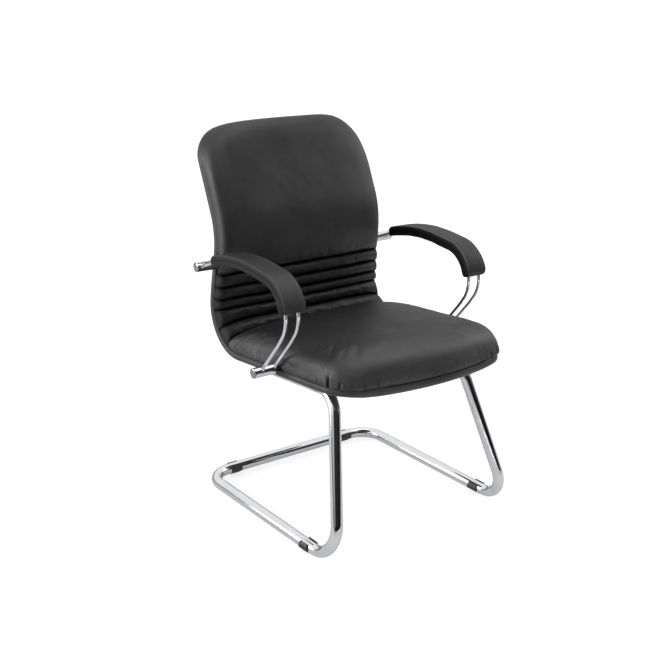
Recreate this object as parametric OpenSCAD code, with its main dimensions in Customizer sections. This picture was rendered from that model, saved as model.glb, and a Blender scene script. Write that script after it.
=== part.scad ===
// Cantilever armchair with a bent chrome tube frame, a leather covered seat and back
// on one plywood shell, and two arms of twin rods with leather pads.
// X runs across the chair, it faces along minus Y, and the floor is at zero height.

/* [Frame tube] */
// Outside diameter of the bent frame tube
tube_d = 28; // [24:1:32]
// Wall of the frame tube
tube_wall = 2; // [1.5:0.5:3]
// Width of the base between the centre lines of its side rails
base_w = 536; // [500:2:570]
// Length of the base from the rear rail to the foot of the uprights
base_run = 577; // [540:1:620]
// Distance of the rear rail behind the middle of the chair
rear_rail_y = 267; // [250:1:300]
// Bend radius of the frame on its centre line
bend_r = 66; // [55:1:75]
// Width between the centre lines of the two top rails
top_rail_w = 386; // [350:2:420]
// How far the uprights lean back from foot to top bend
upright_setback = 119; // [80:1:150]
// Distance of the top rails' ends in front of the bend between seat and back
rail_end_gap = 20; // [8:1:60]

/* [Floor glides] */
// Thickness of a glide below the tube
glide_t = 3.5; // [2.5:0.5:6]
// Wall of a glide round the tube
glide_wall = 4.2; // [3.9:0.1:5]
// Length of a glide along the tube
glide_run = 30; // [20:1:45]
// Distance of the rear glides from the middle of the rear rail
rear_glide_x = 184; // [140:1:190]
// Distance of the front glides in front of the rear rail
front_glide_run = 462; // [420:1:480]

/* [Seat and back line] */
// Height of the under side of the shell at its front edge
seat_front_h = 441.5; // [420:0.5:470]
// Distance of the shell's front edge in front of the rear rail
seat_front_run = 590; // [560:1:610]
// Slope of the seat down to the rear, in degrees
seat_tilt = 4.4; // [2:0.1:6]
// Straight run of the seat
seat_run = 461; // [440:1:480]
// Radius of the bend between seat and back, on the under side of the shell
seat_bend_r = 85; // [75:1:95]
// Turn of the bend between seat and back, in degrees
seat_bend_turn = 100.3; // [98:0.1:104]
// Straight run at the lower back
lower_back_run = 132; // [128:1:150]
// Radius of the lumbar curve
lumbar_r = 200; // [160:5:260]
// Turn of the lumbar curve, in degrees
lumbar_turn = 30; // [26:0.5:31]
// Straight run of the upper back
upper_back_run = 199; // [190:1:230]

/* [Plywood shell] */
// Thickness of the plywood shell
shell_t = 12; // [9:0.5:15]
// How far the shell stays inside the upholstery at its sides
shell_inset = 15; // [12:1:20]
// Corner radius of the shell
shell_corner_r = 95; // [90:1:110]

/* [Upholstery] */
// Width of the seat
seat_w = 504; // [470:2:530]
// How far the back's waist is set in from the seat's side
waist_inset = 7; // [3:1:16]
// How far the upper back is set in from the seat's side
back_inset = 8; // [3:1:20]
// Bow of the seat's front edge in plan
front_bow = 52; // [30:1:60]
// Arch of the back's top edge
top_arch = 4; // [0:1:20]
// Height of the seam between cushions and covers, below the shell's under side
seam_drop = 14.5; // [14:0.5:18]
// Depth of the rear and under covers below the shell's under side
cover_depth = 36; // [34:0.5:38]
// Wall of the rear and under covers
cover_wall = 4; // [3:0.5:5]
// Height of the seat cushion above the shell at its middle
seat_foam = 52; // [40:1:56]
// Height of the back cushion above the shell at its middle
back_foam = 28; // [26:1:36]
// Overhang of the seat cushion in front of the shell
nose_overhang = 20; // [18:1:32]
// Overhang of the back cushion above the shell
top_overhang = 18; // [14:1:26]
// Radius of the seat cushion's front corners in plan
front_corner_r = 53; // [48:1:66]
// Radius of the back's top corners
top_corner_r = 82; // [70:1:95]
// Depth of the creases between the rolls
crease_depth = 13; // [8:1:16]

/* [Cross tubes] */
// Outside diameter of the two cross tubes
cross_d = 25; // [22:1:26]
// Wall of the cross tubes
cross_wall = 1.5; // [1:0.25:2]
// Reach of the lower cross tube past each side of the seat
lower_cross_reach = 60.5; // [56:0.5:66]
// Reach of the upper cross tube past each side of the seat
upper_cross_reach = 51; // [49:0.5:58]
// Place of the lower cross tube behind the shell's front edge
lower_cross_run = 287; // [265:1:300]
// Place of the upper cross tube up from the end of the seat bend
upper_cross_run = 100; // [97:1:105]

/* [Arms] */
// Distance of each arm's middle from the side of the seat
arm_reach = 22.6; // [22:0.1:26]
// Distance between the two rods of an arm
rod_gap = 34.4; // [32:0.1:35]
// Diameter of the arm rods
rod_d = 8; // [6:0.5:9]
// Reach of the lower knuckle in front of the lower cross tube
knuckle_reach = 73; // [70:1:80]
// Rise of the lower knuckle above the lower cross tube
knuckle_rise = 83.5; // [78:0.5:86]
// Reach of the arm's front corner in front of the lower cross tube
arm_front_reach = 169; // [155:1:180]
// Rise of the arm's front corner above the lower cross tube
arm_front_rise = 212.5; // [203:0.5:225]
// Reach of the crest corner in front of the upper cross tube
crest_reach = 147; // [130:1:165]
// Rise of the crest corner above the upper cross tube
crest_rise = 56; // [46:1:62]
// Share of the rising leg that the bend at the front corner takes up
arm_front_share = 0.84; // [0.7:0.01:0.88]
// Share of what is left of it that the bend at the knuckle takes up
knuckle_share = 0.36; // [0.2:0.01:0.6]
// Share of the level leg's rest that the bend at the crest takes up
crest_share = 0.72; // [0.5:0.01:0.8]
// Width of the arm pads at the front
pad_w = 63; // [60:1:68]
// Width of the arm pads at the rear
pad_rear_w = 61; // [58:1:66]
// Height of the arm pads above the rods' centre lines
pad_top = 17; // [14:0.5:20]
// Depth of the arm pads below the rods' centre lines
pad_drop = 9.5; // [9:0.1:12]
// Distance of the pad's rear end from the upper cross tube, along the rods
pad_rear_run = 73; // [60:1:90]
// Length of the pad along the rods
pad_run = 337; // [310:1:350]

/* [Seat fixing] */
// Thickness of the two cross plates on the top rails
plate_t = 5; // [4:0.5:6]
// Width of the cross plates along the rails
plate_run = 45; // [40:1:60]
// Place of the front plate behind the shell's front edge
front_plate_run = 188; // [170:1:210]
// Distance of the rear plate's middle in front of the bend between seat and back
rear_plate_gap = 76; // [60:1:100]
// Distance of the seat bolts from the middle
bolt_x = 140; // [110:1:150]
// Thread diameter of the seat bolts
bolt_d = 8; // [6:1:8]

/* [Hidden] */

$fn = 48;
// Gap between curved faces that touch
fit_gap = 0.3;
// Overrun of cuts past the faces that they open
overrun = 1;
// Step of the facets that follow a bend, in degrees
bend_step = 7;
// How much a bent length of bar is thinner than the straight lengths that it runs into
bend_slack = 0.02;
// How far a straight length of bar runs into a bend
bend_lap = 0.2;
// Half of the depth that closes a recess at the end of a form
lip = 0.5;

// The seat and back line is the under side of the shell, from the front edge of the seat
// to the top of the back, as runs of [length, turn in degrees].
arc_share = PI / 180;
seat_bend_len = seat_bend_r * seat_bend_turn * arc_share;
lumbar_len = lumbar_r * lumbar_turn * arc_share;
seat_line = [[seat_run, 0], [seat_bend_len, seat_bend_turn], [lower_back_run, 0],
    [lumbar_len, -lumbar_turn], [upper_back_run, 0]];
seat_start = [rear_rail_y - seat_front_run, seat_front_h, -seat_tilt];
bend_s = seat_run;
lower_back_s = bend_s + seat_bend_len;
lumbar_s = lower_back_s + lower_back_run;
upper_back_s = lumbar_s + lumbar_len;
shell_end_s = upper_back_s + upper_back_run;
mid_bend_s = bend_s + seat_bend_len / 2;

// Place and heading after a share f of one run that starts at p
function walk(p, run, f) =
    let (l = run[0] * f, t = run[1] * f, a = p[2])
    run[1] == 0 ? [p[0] + l * cos(a), p[1] + l * sin(a), a]
    : let (r = run[0] / (run[1] * arc_share))
      [p[0] + r * (sin(a + t) - sin(a)), p[1] - r * (cos(a + t) - cos(a)), a + t];

// Place [y, z] and heading at length s along a line of runs
function along(line, p, s, i = 0) =
    i == len(line) - 1 || s <= line[i][0] ? walk(p, line[i], s / line[i][0])
    : along(line, walk(p, line[i], 1), s - line[i][0], i + 1);

// Point at distance d to the left of a place with a heading
function beside(q, d) = [q[0] - d * sin(q[2]), q[1] + d * cos(q[2])];

function seat_at(s) = along(seat_line, seat_start, s);

// Length along the line at which run i starts
function run_start(line, i) = i == 0 ? 0 : run_start(line, i - 1) + line[i - 1][0];

// Lengths at which a line is cut into facets: the ends of its runs and even steps in its bends
function knots(line) = [for (i = [0 : len(line) - 1])
    let (a = run_start(line, i), n = max(1, ceil(abs(line[i][1]) / bend_step)))
    each [for (k = [0 : n - 1]) a + line[i][0] * k / n]];

// Members of a rising list that lie between a and b, with a and b as its ends
function spans(list, a, b) = concat([a], [for (s = list) if (s > a + lip && s < b - lip) s], [b]);

function reversed(list) = [for (i = [len(list) - 1 : -1 : 0]) list[i]];

// Slab that follows a line from s0 to s1, between distances d0 and d1 beside it
module band(line, p, s0, s1, d0, d1, w) {
    stops = spans(knots(line), s0, s1);
    rotate([90, 0, 90])
        linear_extrude(w, center = true)
            polygon(concat([for (s = stops) beside(along(line, p, s), d0)],
                reversed([for (s = stops) beside(along(line, p, s), d1)])));
}

// Children set at length s along a line, x across, and d beside it, with local Z along the normal
module beside_line(line, p, s, x, d) {
    q = along(line, p, s);
    place = beside(q, d);
    translate([x, place[0], place[1]])
        rotate([q[2], 0, 0])
            children();
}

module on_seat(s, x, d) {
    beside_line(seat_line, seat_start, s, x, d)
        children();
}

// Plan and front outline
smooth_share = 3;
waist_w = seat_w - 2 * waist_inset;
back_w = seat_w - 2 * back_inset;
waist_s = lumbar_s + lumbar_len / 4;
wide_s = upper_back_s + upper_back_run / 2;
bow_fade_run = seat_run / 2;
arch_fade_run = upper_back_run / 2;

// Even rise from 0 to 1
function smooth(t) = t <= 0 ? 0 : t >= 1 ? 1 : t * t * (smooth_share - (smooth_share - 1) * t);

// Half width of the upholstery at length s
function half_w(s) = (seat_w + (waist_w - seat_w) * smooth((s - lower_back_s) / (waist_s - lower_back_s))
    + (back_w - waist_w) * smooth((s - waist_s) / (wide_s - waist_s))) / 2;

// How much a corner of radius r takes off the half width at distance t from the end
function corner(t, r) = t >= r ? 0 : r - sqrt(r * r - pow(r - max(t, 0), 2));

// Length with the bow of the front edge and the arch of the top edge at place x
function bowed(s, x) = s + front_bow * pow(2 * x / seat_w, 2) * smooth(1 - s / bow_fade_run)
    - top_arch * pow(2 * x / back_w, 2) * smooth(1 - (shell_end_s - s) / arch_fade_run);

// Point of the upholstery at length s, place x and distance d above the shell's under side
function skin_point(s, x, d) = let (q = beside(seat_at(bowed(s, x)), d)) [x, q[0], q[1]];

// Half width of the shell, less a gap below zero
function shell_half(s, gap) = half_w(s) - shell_inset + gap
    - corner(s + gap, shell_corner_r) - corner(shell_end_s + gap - s, shell_corner_r);

// Bent bars: a route of corner points with a bend radius at each inner corner
function unit(v) = v / norm(v);
function corner_angle(p, i) = acos(unit(p[i - 1] - p[i]) * unit(p[i + 1] - p[i]));
function corner_cut(p, radii, i) =
    i == 0 || i == len(p) - 1 ? 0 : radii[i - 1] / tan(corner_angle(p, i) / 2);

module in_frame(ex, ey, ez, o) {
    multmatrix([[ex[0], ey[0], ez[0], o[0]], [ex[1], ey[1], ez[1], o[1]],
        [ex[2], ey[2], ez[2], o[2]], [0, 0, 0, 1]])
        children();
}

module straight_bar(a, b, r) {
    ez = unit(b - a);
    side = abs(ez[0]) > 1 / 2 ? [0, 0, 1] : [1, 0, 0];
    ey = unit(cross(ez, side));
    in_frame(cross(ey, ez), ey, ez, a)
        cylinder(h = norm(b - a), r = r);
}

module bend_bar(p, i, bend, r) {
    u = unit(p[i - 1] - p[i]);
    v = unit(p[i + 1] - p[i]);
    angle = corner_angle(p, i);
    centre = p[i] + unit(u + v) * bend / sin(angle / 2);
    ex = unit(p[i] + u * bend / tan(angle / 2) - centre);
    in_frame(ex, -u, cross(ex, -u), centre)
        rotate_extrude(angle = 180 - angle)
            translate([bend, 0])
                circle(r = r - bend_slack);
}

module bent_bar(p, radii, r) {
    for (i = [0 : len(p) - 2]) {
        u = unit(p[i + 1] - p[i]);
        a = corner_cut(p, radii, i) - (i > 0 ? bend_lap : 0);
        b = corner_cut(p, radii, i + 1) - (i < len(p) - 2 ? bend_lap : 0);
        straight_bar(p[i] + u * a, p[i + 1] - u * b, r);
    }
    for (i = [1 : len(p) - 2])
        bend_bar(p, i, radii[i - 1], r);
}

// Frame
tube_r = tube_d / 2;
rail_h = glide_t + tube_r;
plate_top_d = -(cover_depth + fit_gap);
rail_d = plate_top_d - tube_r;
foot_y = rear_rail_y - base_run;
top_corner_y = foot_y + upright_setback;
top_corner_s = (top_corner_y - seat_start[0] - rail_d * sin(seat_tilt)) / cos(seat_tilt);
top_corner = beside(seat_at(top_corner_s), rail_d);
rail_end_s = bend_s - rail_end_gap;

// Corner points of the frame's route, with its ends moved on by extra
function frame_route(extra) =
    let (end = beside(seat_at(rail_end_s + extra), rail_d),
        half = [[top_rail_w / 2, end[0], end[1]], [top_rail_w / 2, top_corner[0], top_corner[1]],
            [base_w / 2, foot_y, rail_h], [base_w / 2, rear_rail_y, rail_h]])
    concat(half, reversed([for (p = half) [-p[0], p[1], p[2]]]));

frame_radii = [for (i = [1 : 6]) bend_r];

module frame_tube() {
    color("silver")
        difference() {
            bent_bar(frame_route(0), frame_radii, tube_r);
            bent_bar(frame_route(overrun), frame_radii, tube_r - tube_wall);
        }
}

// End plug of a top rail
plug_flange_t = 3;
plug_run = 18;

module rail_plug(side) {
    color("dimgray")
        on_seat(rail_end_s, side * top_rail_w / 2, rail_d)
            rotate([-90, 0, 0]) {
                cylinder(h = plug_flange_t, r = tube_r);
                translate([0, 0, -plug_run])
                    cylinder(h = plug_run + lip, r = tube_r - tube_wall - fit_gap);
            }
}

// Flat bar with round corners, its top face at zero height
module round_plate(w, run, t, r) {
    translate([0, 0, -t])
        linear_extrude(t)
            union() {
                square([w - 2 * r, run], center = true);
                square([w, run - 2 * r], center = true);
                for (x = [-1, 1], y = [-1, 1])
                    translate([x * (w / 2 - r), y * (run / 2 - r)])
                        circle(r = r);
            }
}

rear_plate_s = bend_s - rear_plate_gap;
plate_corner_r = 8;
bolt_clear = 0.5;

// Plate between the top rails, level with their tops, its ends cut to their round
module cross_plate(s) {
    color("silver")
        on_seat(s, 0, plate_top_d)
            difference() {
                round_plate(top_rail_w - tube_r, plate_run, plate_t, plate_corner_r);
                for (side = [-1, 1]) {
                    translate([side * bolt_x, 0, -plate_t - overrun])
                        cylinder(h = plate_t + 2 * overrun, r = bolt_d / 2 + bolt_clear);
                    translate([side * top_rail_w / 2, 0, -tube_r])
                        rotate([90, 0, 0])
                            cylinder(h = 2 * plate_run, r = tube_r + fit_gap, center = true);
                }
            }
}

// Clip that snaps round a floor rail from below, flat where it stands
glide_r = tube_r + glide_wall;
glide_lip_rise = 6;

module glide(x, y, turn) {
    color("black")
        translate([x, y, rail_h])
            rotate([0, 0, turn])
                difference() {
                    rotate([0, 90, 0])
                        cylinder(h = glide_run, r = glide_r, center = true);
                    rotate([0, 90, 0])
                        cylinder(h = glide_run + 2 * overrun, r = tube_r + fit_gap, center = true);
                    translate([-glide_run, -glide_r - overrun, glide_lip_rise])
                        cube([2 * glide_run, 2 * (glide_r + overrun), glide_r]);
                    translate([-glide_run, -glide_r - overrun, -rail_h - glide_r])
                        cube([2 * glide_run, 2 * (glide_r + overrun), glide_r]);
                }
}

module rear_glide(side) {
    glide(side * rear_glide_x, rear_rail_y, 0);
}

module front_glide(side) {
    glide(side * base_w / 2, rear_rail_y - front_glide_run, 90);
}

// Shell
outline_steps = 6;

// Lengths that follow a corner of radius r at the start of a form
function corner_stops(a, r) = [for (k = [0 : outline_steps]) a + r * (1 - cos(90 * k / outline_steps))];

shell_stops = concat(corner_stops(0, shell_corner_r),
    [for (s = knots(seat_line)) if (s > shell_corner_r && s < shell_end_s - shell_corner_r) s],
    reversed([for (s = corner_stops(0, shell_corner_r)) shell_end_s - s]));
shell_edge_x = seat_w / 2 - shell_inset - shell_corner_r;

// Right hand edge of the shell as points [x, y, z], from the front middle to the top middle
function shell_edge(s) = skin_point(s, shell_half(s, 0), 0);
function edge_side(stops, axis) = [for (s = stops) let (p = shell_edge(s)) [p[0], p[axis]]];
function end_middle(s, w, axis) = [for (k = [1 : outline_steps]) let (x = w * k / outline_steps,
    p = skin_point(s, x, 0)) [x, p[axis]]];
function mirrored(side) = concat(side, reversed([for (p = side) [-p[0], p[1]]]));

module shell_plan() {
    stops = [for (s = shell_stops) if (s <= lower_back_s) s];
    linear_extrude(2 * seat_front_h)
        polygon(mirrored(concat(end_middle(0, shell_half(0, 0), 1), edge_side(stops, 1))));
}

module shell_front() {
    stops = [for (s = shell_stops) if (s >= bend_s) s];
    w = shell_half(shell_end_s, 0);
    rotate([90, 0, 0])
        linear_extrude(2 * seat_front_h, center = true)
            polygon(mirrored(concat(edge_side(stops, 2), reversed(end_middle(shell_end_s, w, 2)))));
}

module shell_blank() {
    intersection() {
        band(seat_line, seat_start, -overrun, mid_bend_s, 0, shell_t, seat_w);
        shell_plan();
    }
    intersection() {
        band(seat_line, seat_start, mid_bend_s, shell_end_s + overrun, 0, shell_t, seat_w);
        shell_front();
    }
}

// Tee nuts of the seat bolts, let in from above
tee_r = 5;
tee_flange_r = 10;
tee_flange_t = 1.5;
saddle_screw_r = 2;
saddle_screw_run = 9;

module seat_shell() {
    color("tan")
        difference() {
            shell_blank();
            each_bolt(0) {
                translate([0, 0, -overrun])
                    cylinder(h = shell_t + 2 * overrun, r = tee_r + fit_gap);
                translate([0, 0, shell_t - tee_flange_t - fit_gap])
                    cylinder(h = tee_flange_t + fit_gap + overrun, r = tee_flange_r + fit_gap);
            }
            each_saddle_screw()
                translate([0, 0, -overrun])
                    cylinder(h = saddle_screw_run + overrun + fit_gap, r = saddle_screw_r + fit_gap);
        }
}

module each_bolt(d) {
    for (s = [front_plate_run, rear_plate_s], side = [-1, 1])
        on_seat(s, side * bolt_x, d)
            children();
}

// Upholstered forms: rings of points across the chair, joined along the seat and back line.
// A ring rises from the seam as a rounded arch and returns round a recess.
arch_steps = 14;
form_power = 4.3;
seat_power = 3.8;
nose_power = 3;
cover_power = 8;
// How much larger the corner radius of each cushion is at its crown than at its seam
seat_crown_share = 1.6;
back_crown_share = 1.9;
foam_recess_d = shell_t + fit_gap;

// Coordinate of a rounded arch at angle a, from 0 to 1
function squared(c, power) = sign(c) * pow(abs(c), 2 / power);

// Rise of a form towards its full height at distance t from its end, over run r
function end_rise(t, r, power) = t >= r ? 1 : pow(1 - pow(1 - max(t, 0) / r, power), 1 / power);

// Ring at length s: arch of height h from the seam, of half width w there and v at its crown,
// and a recess of half width g up to d
function ring(s, w, v, h, power, g, seam, d) = concat(
    [for (k = [0 : arch_steps]) let (a = 180 * k / arch_steps, up = squared(sin(a), power))
        skin_point(s, (w + (v - w) * up) * squared(cos(a), power), seam + h * up)],
    [skin_point(s, -g, seam), skin_point(s, -g, d), skin_point(s, g, d), skin_point(s, g, seam)]);

// Triangles of a ring's end face, as places in the ring
ring_n = arch_steps + 5;
half_arch = arch_steps / 2;
ring_cap = concat(
    [for (k = [0 : half_arch - 1]) [k, k + 1, arch_steps + 3]],
    [for (k = [half_arch : arch_steps - 1]) [k, k + 1, arch_steps + 2]],
    [[half_arch, arch_steps + 2, arch_steps + 3], [arch_steps, arch_steps + 1, arch_steps + 2],
        [0, arch_steps + 3, arch_steps + 4]]);

// Solid skinned over rings; flip turns its faces when the arch hangs below the seam
module skinned(rings, flip) {
    n = len(rings[0]);
    last = (len(rings) - 1) * n;
    sides = [for (j = [0 : len(rings) - 2], i = [0 : n - 1])
        let (a = j * n + i, b = j * n + (i + 1) % n)
        each [[a, b, b + n], [a, b + n, a + n]]];
    caps = concat([for (t = ring_cap) [t[0], t[2], t[1]]],
        [for (t = ring_cap) [t[0] + last, t[1] + last, t[2] + last]]);
    faces = concat(sides, caps);
    polyhedron([for (r = rings) each r], flip ? [for (f = faces) reversed(f)] : faces, convexity = 8);
}

// Seat cushion
crease_run = 36;
crease_s = bend_s + crease_run;
nose_s = -nose_overhang;
nose_run = 105;
seat_rear_run = 208;
crease_h = back_foam + shell_t + seam_drop - crease_depth;
seat_h = seat_foam + shell_t + seam_drop;
thin_end = 0.1;
nose_steps = 8;

function seat_half(s) = half_w(s) - corner(s - nose_s, front_corner_r);
function seat_crown_half(s) = let (f = end_rise(s - nose_s, nose_run, nose_power))
    seat_half(s) * (1 - f) + f * (half_w(s) - corner(s - nose_s, front_corner_r * seat_crown_share));
function seat_rise(s) = crease_h + (seat_h - crease_h) * end_rise(crease_s - s, seat_rear_run, 2);
function seat_arch(s) = seat_rise(s) * end_rise(s - nose_s, nose_run, nose_power);
function shell_recess(s, seam) = s < -fit_gap || s > shell_end_s + fit_gap ? seam + lip : foam_recess_d;
function nose_stops(a, r, n) = [for (k = [1 : n]) a + r * pow(1 - cos(90 * k / n), 3 / 2)];

seat_rear_s = crease_s - seat_rear_run;
seat_stops = spans(concat(
    nose_stops(nose_s, nose_overhang - 2 * lip, 4), [-lip, -fit_gap / 2],
    nose_stops(0, nose_run, nose_steps / 2),
    [for (k = [1 : 4]) nose_run + (seat_rear_s - nose_run) * k / 5],
    [for (k = [0 : 5]) crease_s - seat_rear_run * pow(1 - k / 6, 3 / 2)]),
    nose_s + thin_end, crease_s - fit_gap);

module seat_cushion() {
    color("#1c1c1e")
        difference() {
            skinned([for (s = seat_stops) ring(s, seat_half(s), seat_crown_half(s), seat_arch(s),
                seat_power, shell_half(max(s, -fit_gap), fit_gap), -seam_drop,
                shell_recess(s, -seam_drop))], false);
            cross_passage(lower_cross_s);
        }
}

// Back cushion, with rolls between the creases at the lower back
crease_shares = [0, 0.28, 0.53, 0.67, 0.83, 1];
roll_end_gap = 16;
rolls_run = lower_back_s + upper_cross_run - crease_s - roll_end_gap;
rolls_end_s = crease_s + rolls_run;
roll_stop_shares = [0, 0.1, 0.3, 0.5, 0.7, 0.9];
roll_power = 0.7;
back_h = back_foam + shell_t + seam_drop;
back_top_s = shell_end_s + top_overhang;
back_rise_run = 36;
top_run = 94;

function crease_s_at(k) = crease_s + rolls_run * crease_shares[k];
function roll_index(s) = max([for (k = [0 : len(crease_shares) - 2]) if (s >= crease_s_at(k)) k]);
function roll_rise(s) =
    let (k = roll_index(s), f = (s - crease_s_at(k)) / (crease_s_at(k + 1) - crease_s_at(k)))
    crease_depth * pow(max(sin(180 * f), 0), roll_power);
function back_rise(s) = crease_h + (s < rolls_end_s ? roll_rise(max(s, crease_s))
    : (back_h - crease_h) * end_rise(s - rolls_end_s, back_rise_run, 2));
function back_arch(s) = back_rise(s) * end_rise(back_top_s - s, top_run, form_power);
function back_half(s) = half_w(s) - corner(back_top_s - s, top_corner_r);
function back_crown_half(s) = let (f = end_rise(back_top_s - s, top_run, form_power))
    back_half(s) * (1 - f) + f * (half_w(s) - corner(back_top_s - s, top_corner_r * back_crown_share));

back_stops = spans(concat(
    [for (k = [0 : len(crease_shares) - 2], f = roll_stop_shares)
        crease_s_at(k) + f * (crease_s_at(k + 1) - crease_s_at(k))],
    [for (k = [0 : 3]) rolls_end_s + back_rise_run * pow(k / 3, 3 / 2)],
    [for (k = [1 : 5]) rolls_end_s + back_rise_run
        + (back_top_s - top_corner_r - rolls_end_s - back_rise_run) * k / 6],
    reversed([for (s = nose_stops(0, top_corner_r, nose_steps))
        if (s > top_overhang + lip) back_top_s - s]),
    [shell_end_s + fit_gap / 2, shell_end_s + lip],
    reversed([for (s = nose_stops(0, top_overhang - lip, 3)) back_top_s - s])),
    crease_s + fit_gap, back_top_s - thin_end);

module back_cushion() {
    color("#1c1c1e")
        difference() {
            skinned([for (s = back_stops) ring(s, back_half(s), back_crown_half(s), back_arch(s),
                form_power, shell_half(min(s, shell_end_s + fit_gap), fit_gap), -seam_drop,
                shell_recess(s, -seam_drop))], false);
            cross_passage(upper_cross_s);
        }
}

// Covers behind the back and under the seat: upholstered dished panels on the shell's hidden side
cover_seam = -seam_drop - fit_gap;
cover_h = cover_depth - seam_drop - fit_gap;
cover_side_wall = 12;
cover_inset = 2;
under_corner_share = 1.33;
under_corner_r = front_corner_r * under_corner_share;
cover_end_run = 14;
cover_recess_d = cover_wall - cover_depth;
cover_split_s = bend_s;

function cover_half(s) = half_w(s) - cover_inset - corner(s - nose_s - cover_inset, under_corner_r)
    - corner(back_top_s - cover_inset - s, top_corner_r);
function cover_recess(s, a, b) = s < a || s > b ? cover_seam - lip : cover_recess_d;

// Cover from a to b; rise_a and rise_b round its ends, rim_a and rim_b are the walls there
module cover(stops, a, b, rise_a, rise_b, rim_a, rim_b) {
    skinned([for (s = stops) ring(s, cover_half(s), cover_half(s),
        -cover_h * (rise_a ? end_rise(s - a, cover_end_run, form_power) : 1)
            * (rise_b ? end_rise(b - s, cover_end_run, form_power) : 1),
        cover_power, cover_half(s) - cover_side_wall, cover_seam,
        cover_recess(s, a + rim_a, b - rim_b))], true);
}

cover_end_wall = cover_side_wall + cover_wall;
cover_flat_run = cover_end_wall + cover_wall;
under_a = nose_s + cover_inset;
under_b = cover_split_s - fit_gap;
under_stops = spans(concat(nose_stops(under_a, cover_end_run, 4),
    [under_a + cover_end_wall - lip, under_a + cover_end_wall + lip / 2],
    [for (s = nose_stops(under_a, under_corner_r, nose_steps)) if (s > under_a + cover_flat_run) s],
    [for (k = [1 : 3]) under_corner_r + (under_b - under_corner_r) * k / 4],
    [under_b - cover_wall - lip, under_b - cover_wall + lip / 2]), under_a + thin_end, under_b);

module seat_under_cover() {
    color("#1c1c1e")
        difference() {
            cover(under_stops, under_a, under_b, true, false, cover_end_wall, cover_wall);
            cross_passage(lower_cross_s);
            each_bolt(-cover_depth)
                translate([0, 0, -overrun])
                    cylinder(h = cover_depth, r = bolt_d / 2 + bolt_clear);
        }
}

rear_a = cover_split_s;
rear_b = back_top_s - cover_inset;
rear_stops = spans(concat([rear_a + cover_wall - lip, rear_a + cover_wall + lip / 2],
    [for (s = knots(seat_line)) if (s > rear_a + cover_side_wall && s < upper_back_s - lip) s],
    [for (k = [0 : 2]) upper_back_s + (rear_b - top_corner_r - upper_back_s) * k / 3],
    reversed([for (s = nose_stops(0, top_corner_r, nose_steps)) if (s > cover_flat_run) rear_b - s]),
    [rear_b - cover_end_wall - lip / 2, rear_b - cover_end_wall + lip],
    reversed([for (s = nose_stops(0, cover_end_run, 4)) rear_b - s])), rear_a, rear_b - thin_end);

module back_cover() {
    color("#1c1c1e")
        difference() {
            cover(rear_stops, rear_a, rear_b, false, true, cover_wall, cover_end_wall);
            cross_passage(upper_cross_s);
        }
}

// Cross tubes that carry the arms
cross_r = cross_d / 2;
cross_axis_d = -(cross_r + fit_gap);
lower_cross_s = lower_cross_run;
upper_cross_s = lower_back_s + upper_cross_run;

module on_cross(s, x) {
    on_seat(s, x, cross_axis_d)
        rotate([0, 90, 0])
            children();
}

// Way for a cross tube through the sides of the upholstery
module cross_passage(s) {
    on_cross(s, 0)
        cylinder(h = 2 * seat_w, r = cross_r + fit_gap, center = true);
}

module cross_tube(s, reach) {
    w = seat_w + 2 * reach;
    color("silver")
        on_cross(s, 0)
            difference() {
                cylinder(h = w, r = cross_r, center = true);
                cylinder(h = w + 2 * overrun, r = cross_r - cross_wall, center = true);
            }
}

// Domed end cap of a cross tube
cap_rim_t = 1.2;
cap_dome_rise = 2.4;
cap_plug_run = 12;
cap_plug_r = cross_r - cross_wall - fit_gap;
dome_steps = 5;

module cross_cap(s, reach, side) {
    color("silver")
        on_cross(s, side * (seat_w / 2 + reach))
            rotate([side > 0 ? 0 : 180, 0, 0])
                rotate_extrude()
                    polygon(concat([[0, -cap_plug_run], [cap_plug_r, -cap_plug_run], [cap_plug_r, 0],
                        [cross_r, 0], [cross_r, cap_rim_t]],
                        [for (k = [1 : dome_steps - 1]) [cross_r * cos(90 * k / dome_steps),
                            cap_rim_t + cap_dome_rise * sin(90 * k / dome_steps)]],
                        [[0, cap_rim_t + cap_dome_rise]]));
}

// Saddles that strap the cross tubes to the shell
saddle_x = 92;
saddle_w = 22;
saddle_t = 2.5;
saddle_foot = 14;
saddle_inner_r = cross_r + fit_gap;
saddle_outer_r = saddle_inner_r + saddle_t;
saddle_hole_y = saddle_outer_r + saddle_foot / 2;

module saddle(s, side) {
    color("gray")
        on_seat(s, side * saddle_x, 0)
            difference() {
                union() {
                    translate([0, 0, cross_axis_d])
                        rotate([0, 90, 0])
                            cylinder(h = saddle_w, r = saddle_outer_r, center = true);
                    translate([-saddle_w / 2, -saddle_outer_r, cross_axis_d])
                        cube([saddle_w, 2 * saddle_outer_r, -cross_axis_d]);
                    translate([-saddle_w / 2, -saddle_outer_r - saddle_foot, -saddle_t])
                        cube([saddle_w, 2 * (saddle_outer_r + saddle_foot), saddle_t]);
                }
                translate([0, 0, cross_axis_d])
                    rotate([0, 90, 0])
                        cylinder(h = saddle_w + 2 * overrun, r = saddle_inner_r, center = true);
                translate([-saddle_w / 2 - overrun, -saddle_inner_r, cross_axis_d])
                    cube([saddle_w + 2 * overrun, 2 * saddle_inner_r, overrun - cross_axis_d]);
                translate([-saddle_w / 2 - overrun, -saddle_outer_r - saddle_foot, 0])
                    cube([saddle_w + 2 * overrun, 2 * (saddle_outer_r + saddle_foot), saddle_outer_r]);
                for (e = [-1, 1])
                    translate([0, e * saddle_hole_y, -saddle_t - overrun])
                        cylinder(h = saddle_t + 2 * overrun, r = saddle_screw_r + fit_gap);
            }
}

module each_saddle_screw() {
    for (s = [lower_cross_s, upper_cross_s], side = [-1, 1], e = [-1, 1])
        on_seat(s, side * saddle_x, 0)
            translate([0, e * saddle_hole_y, 0])
                children();
}

screw_head_r = 4;
screw_head_t = 2.6;

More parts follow.
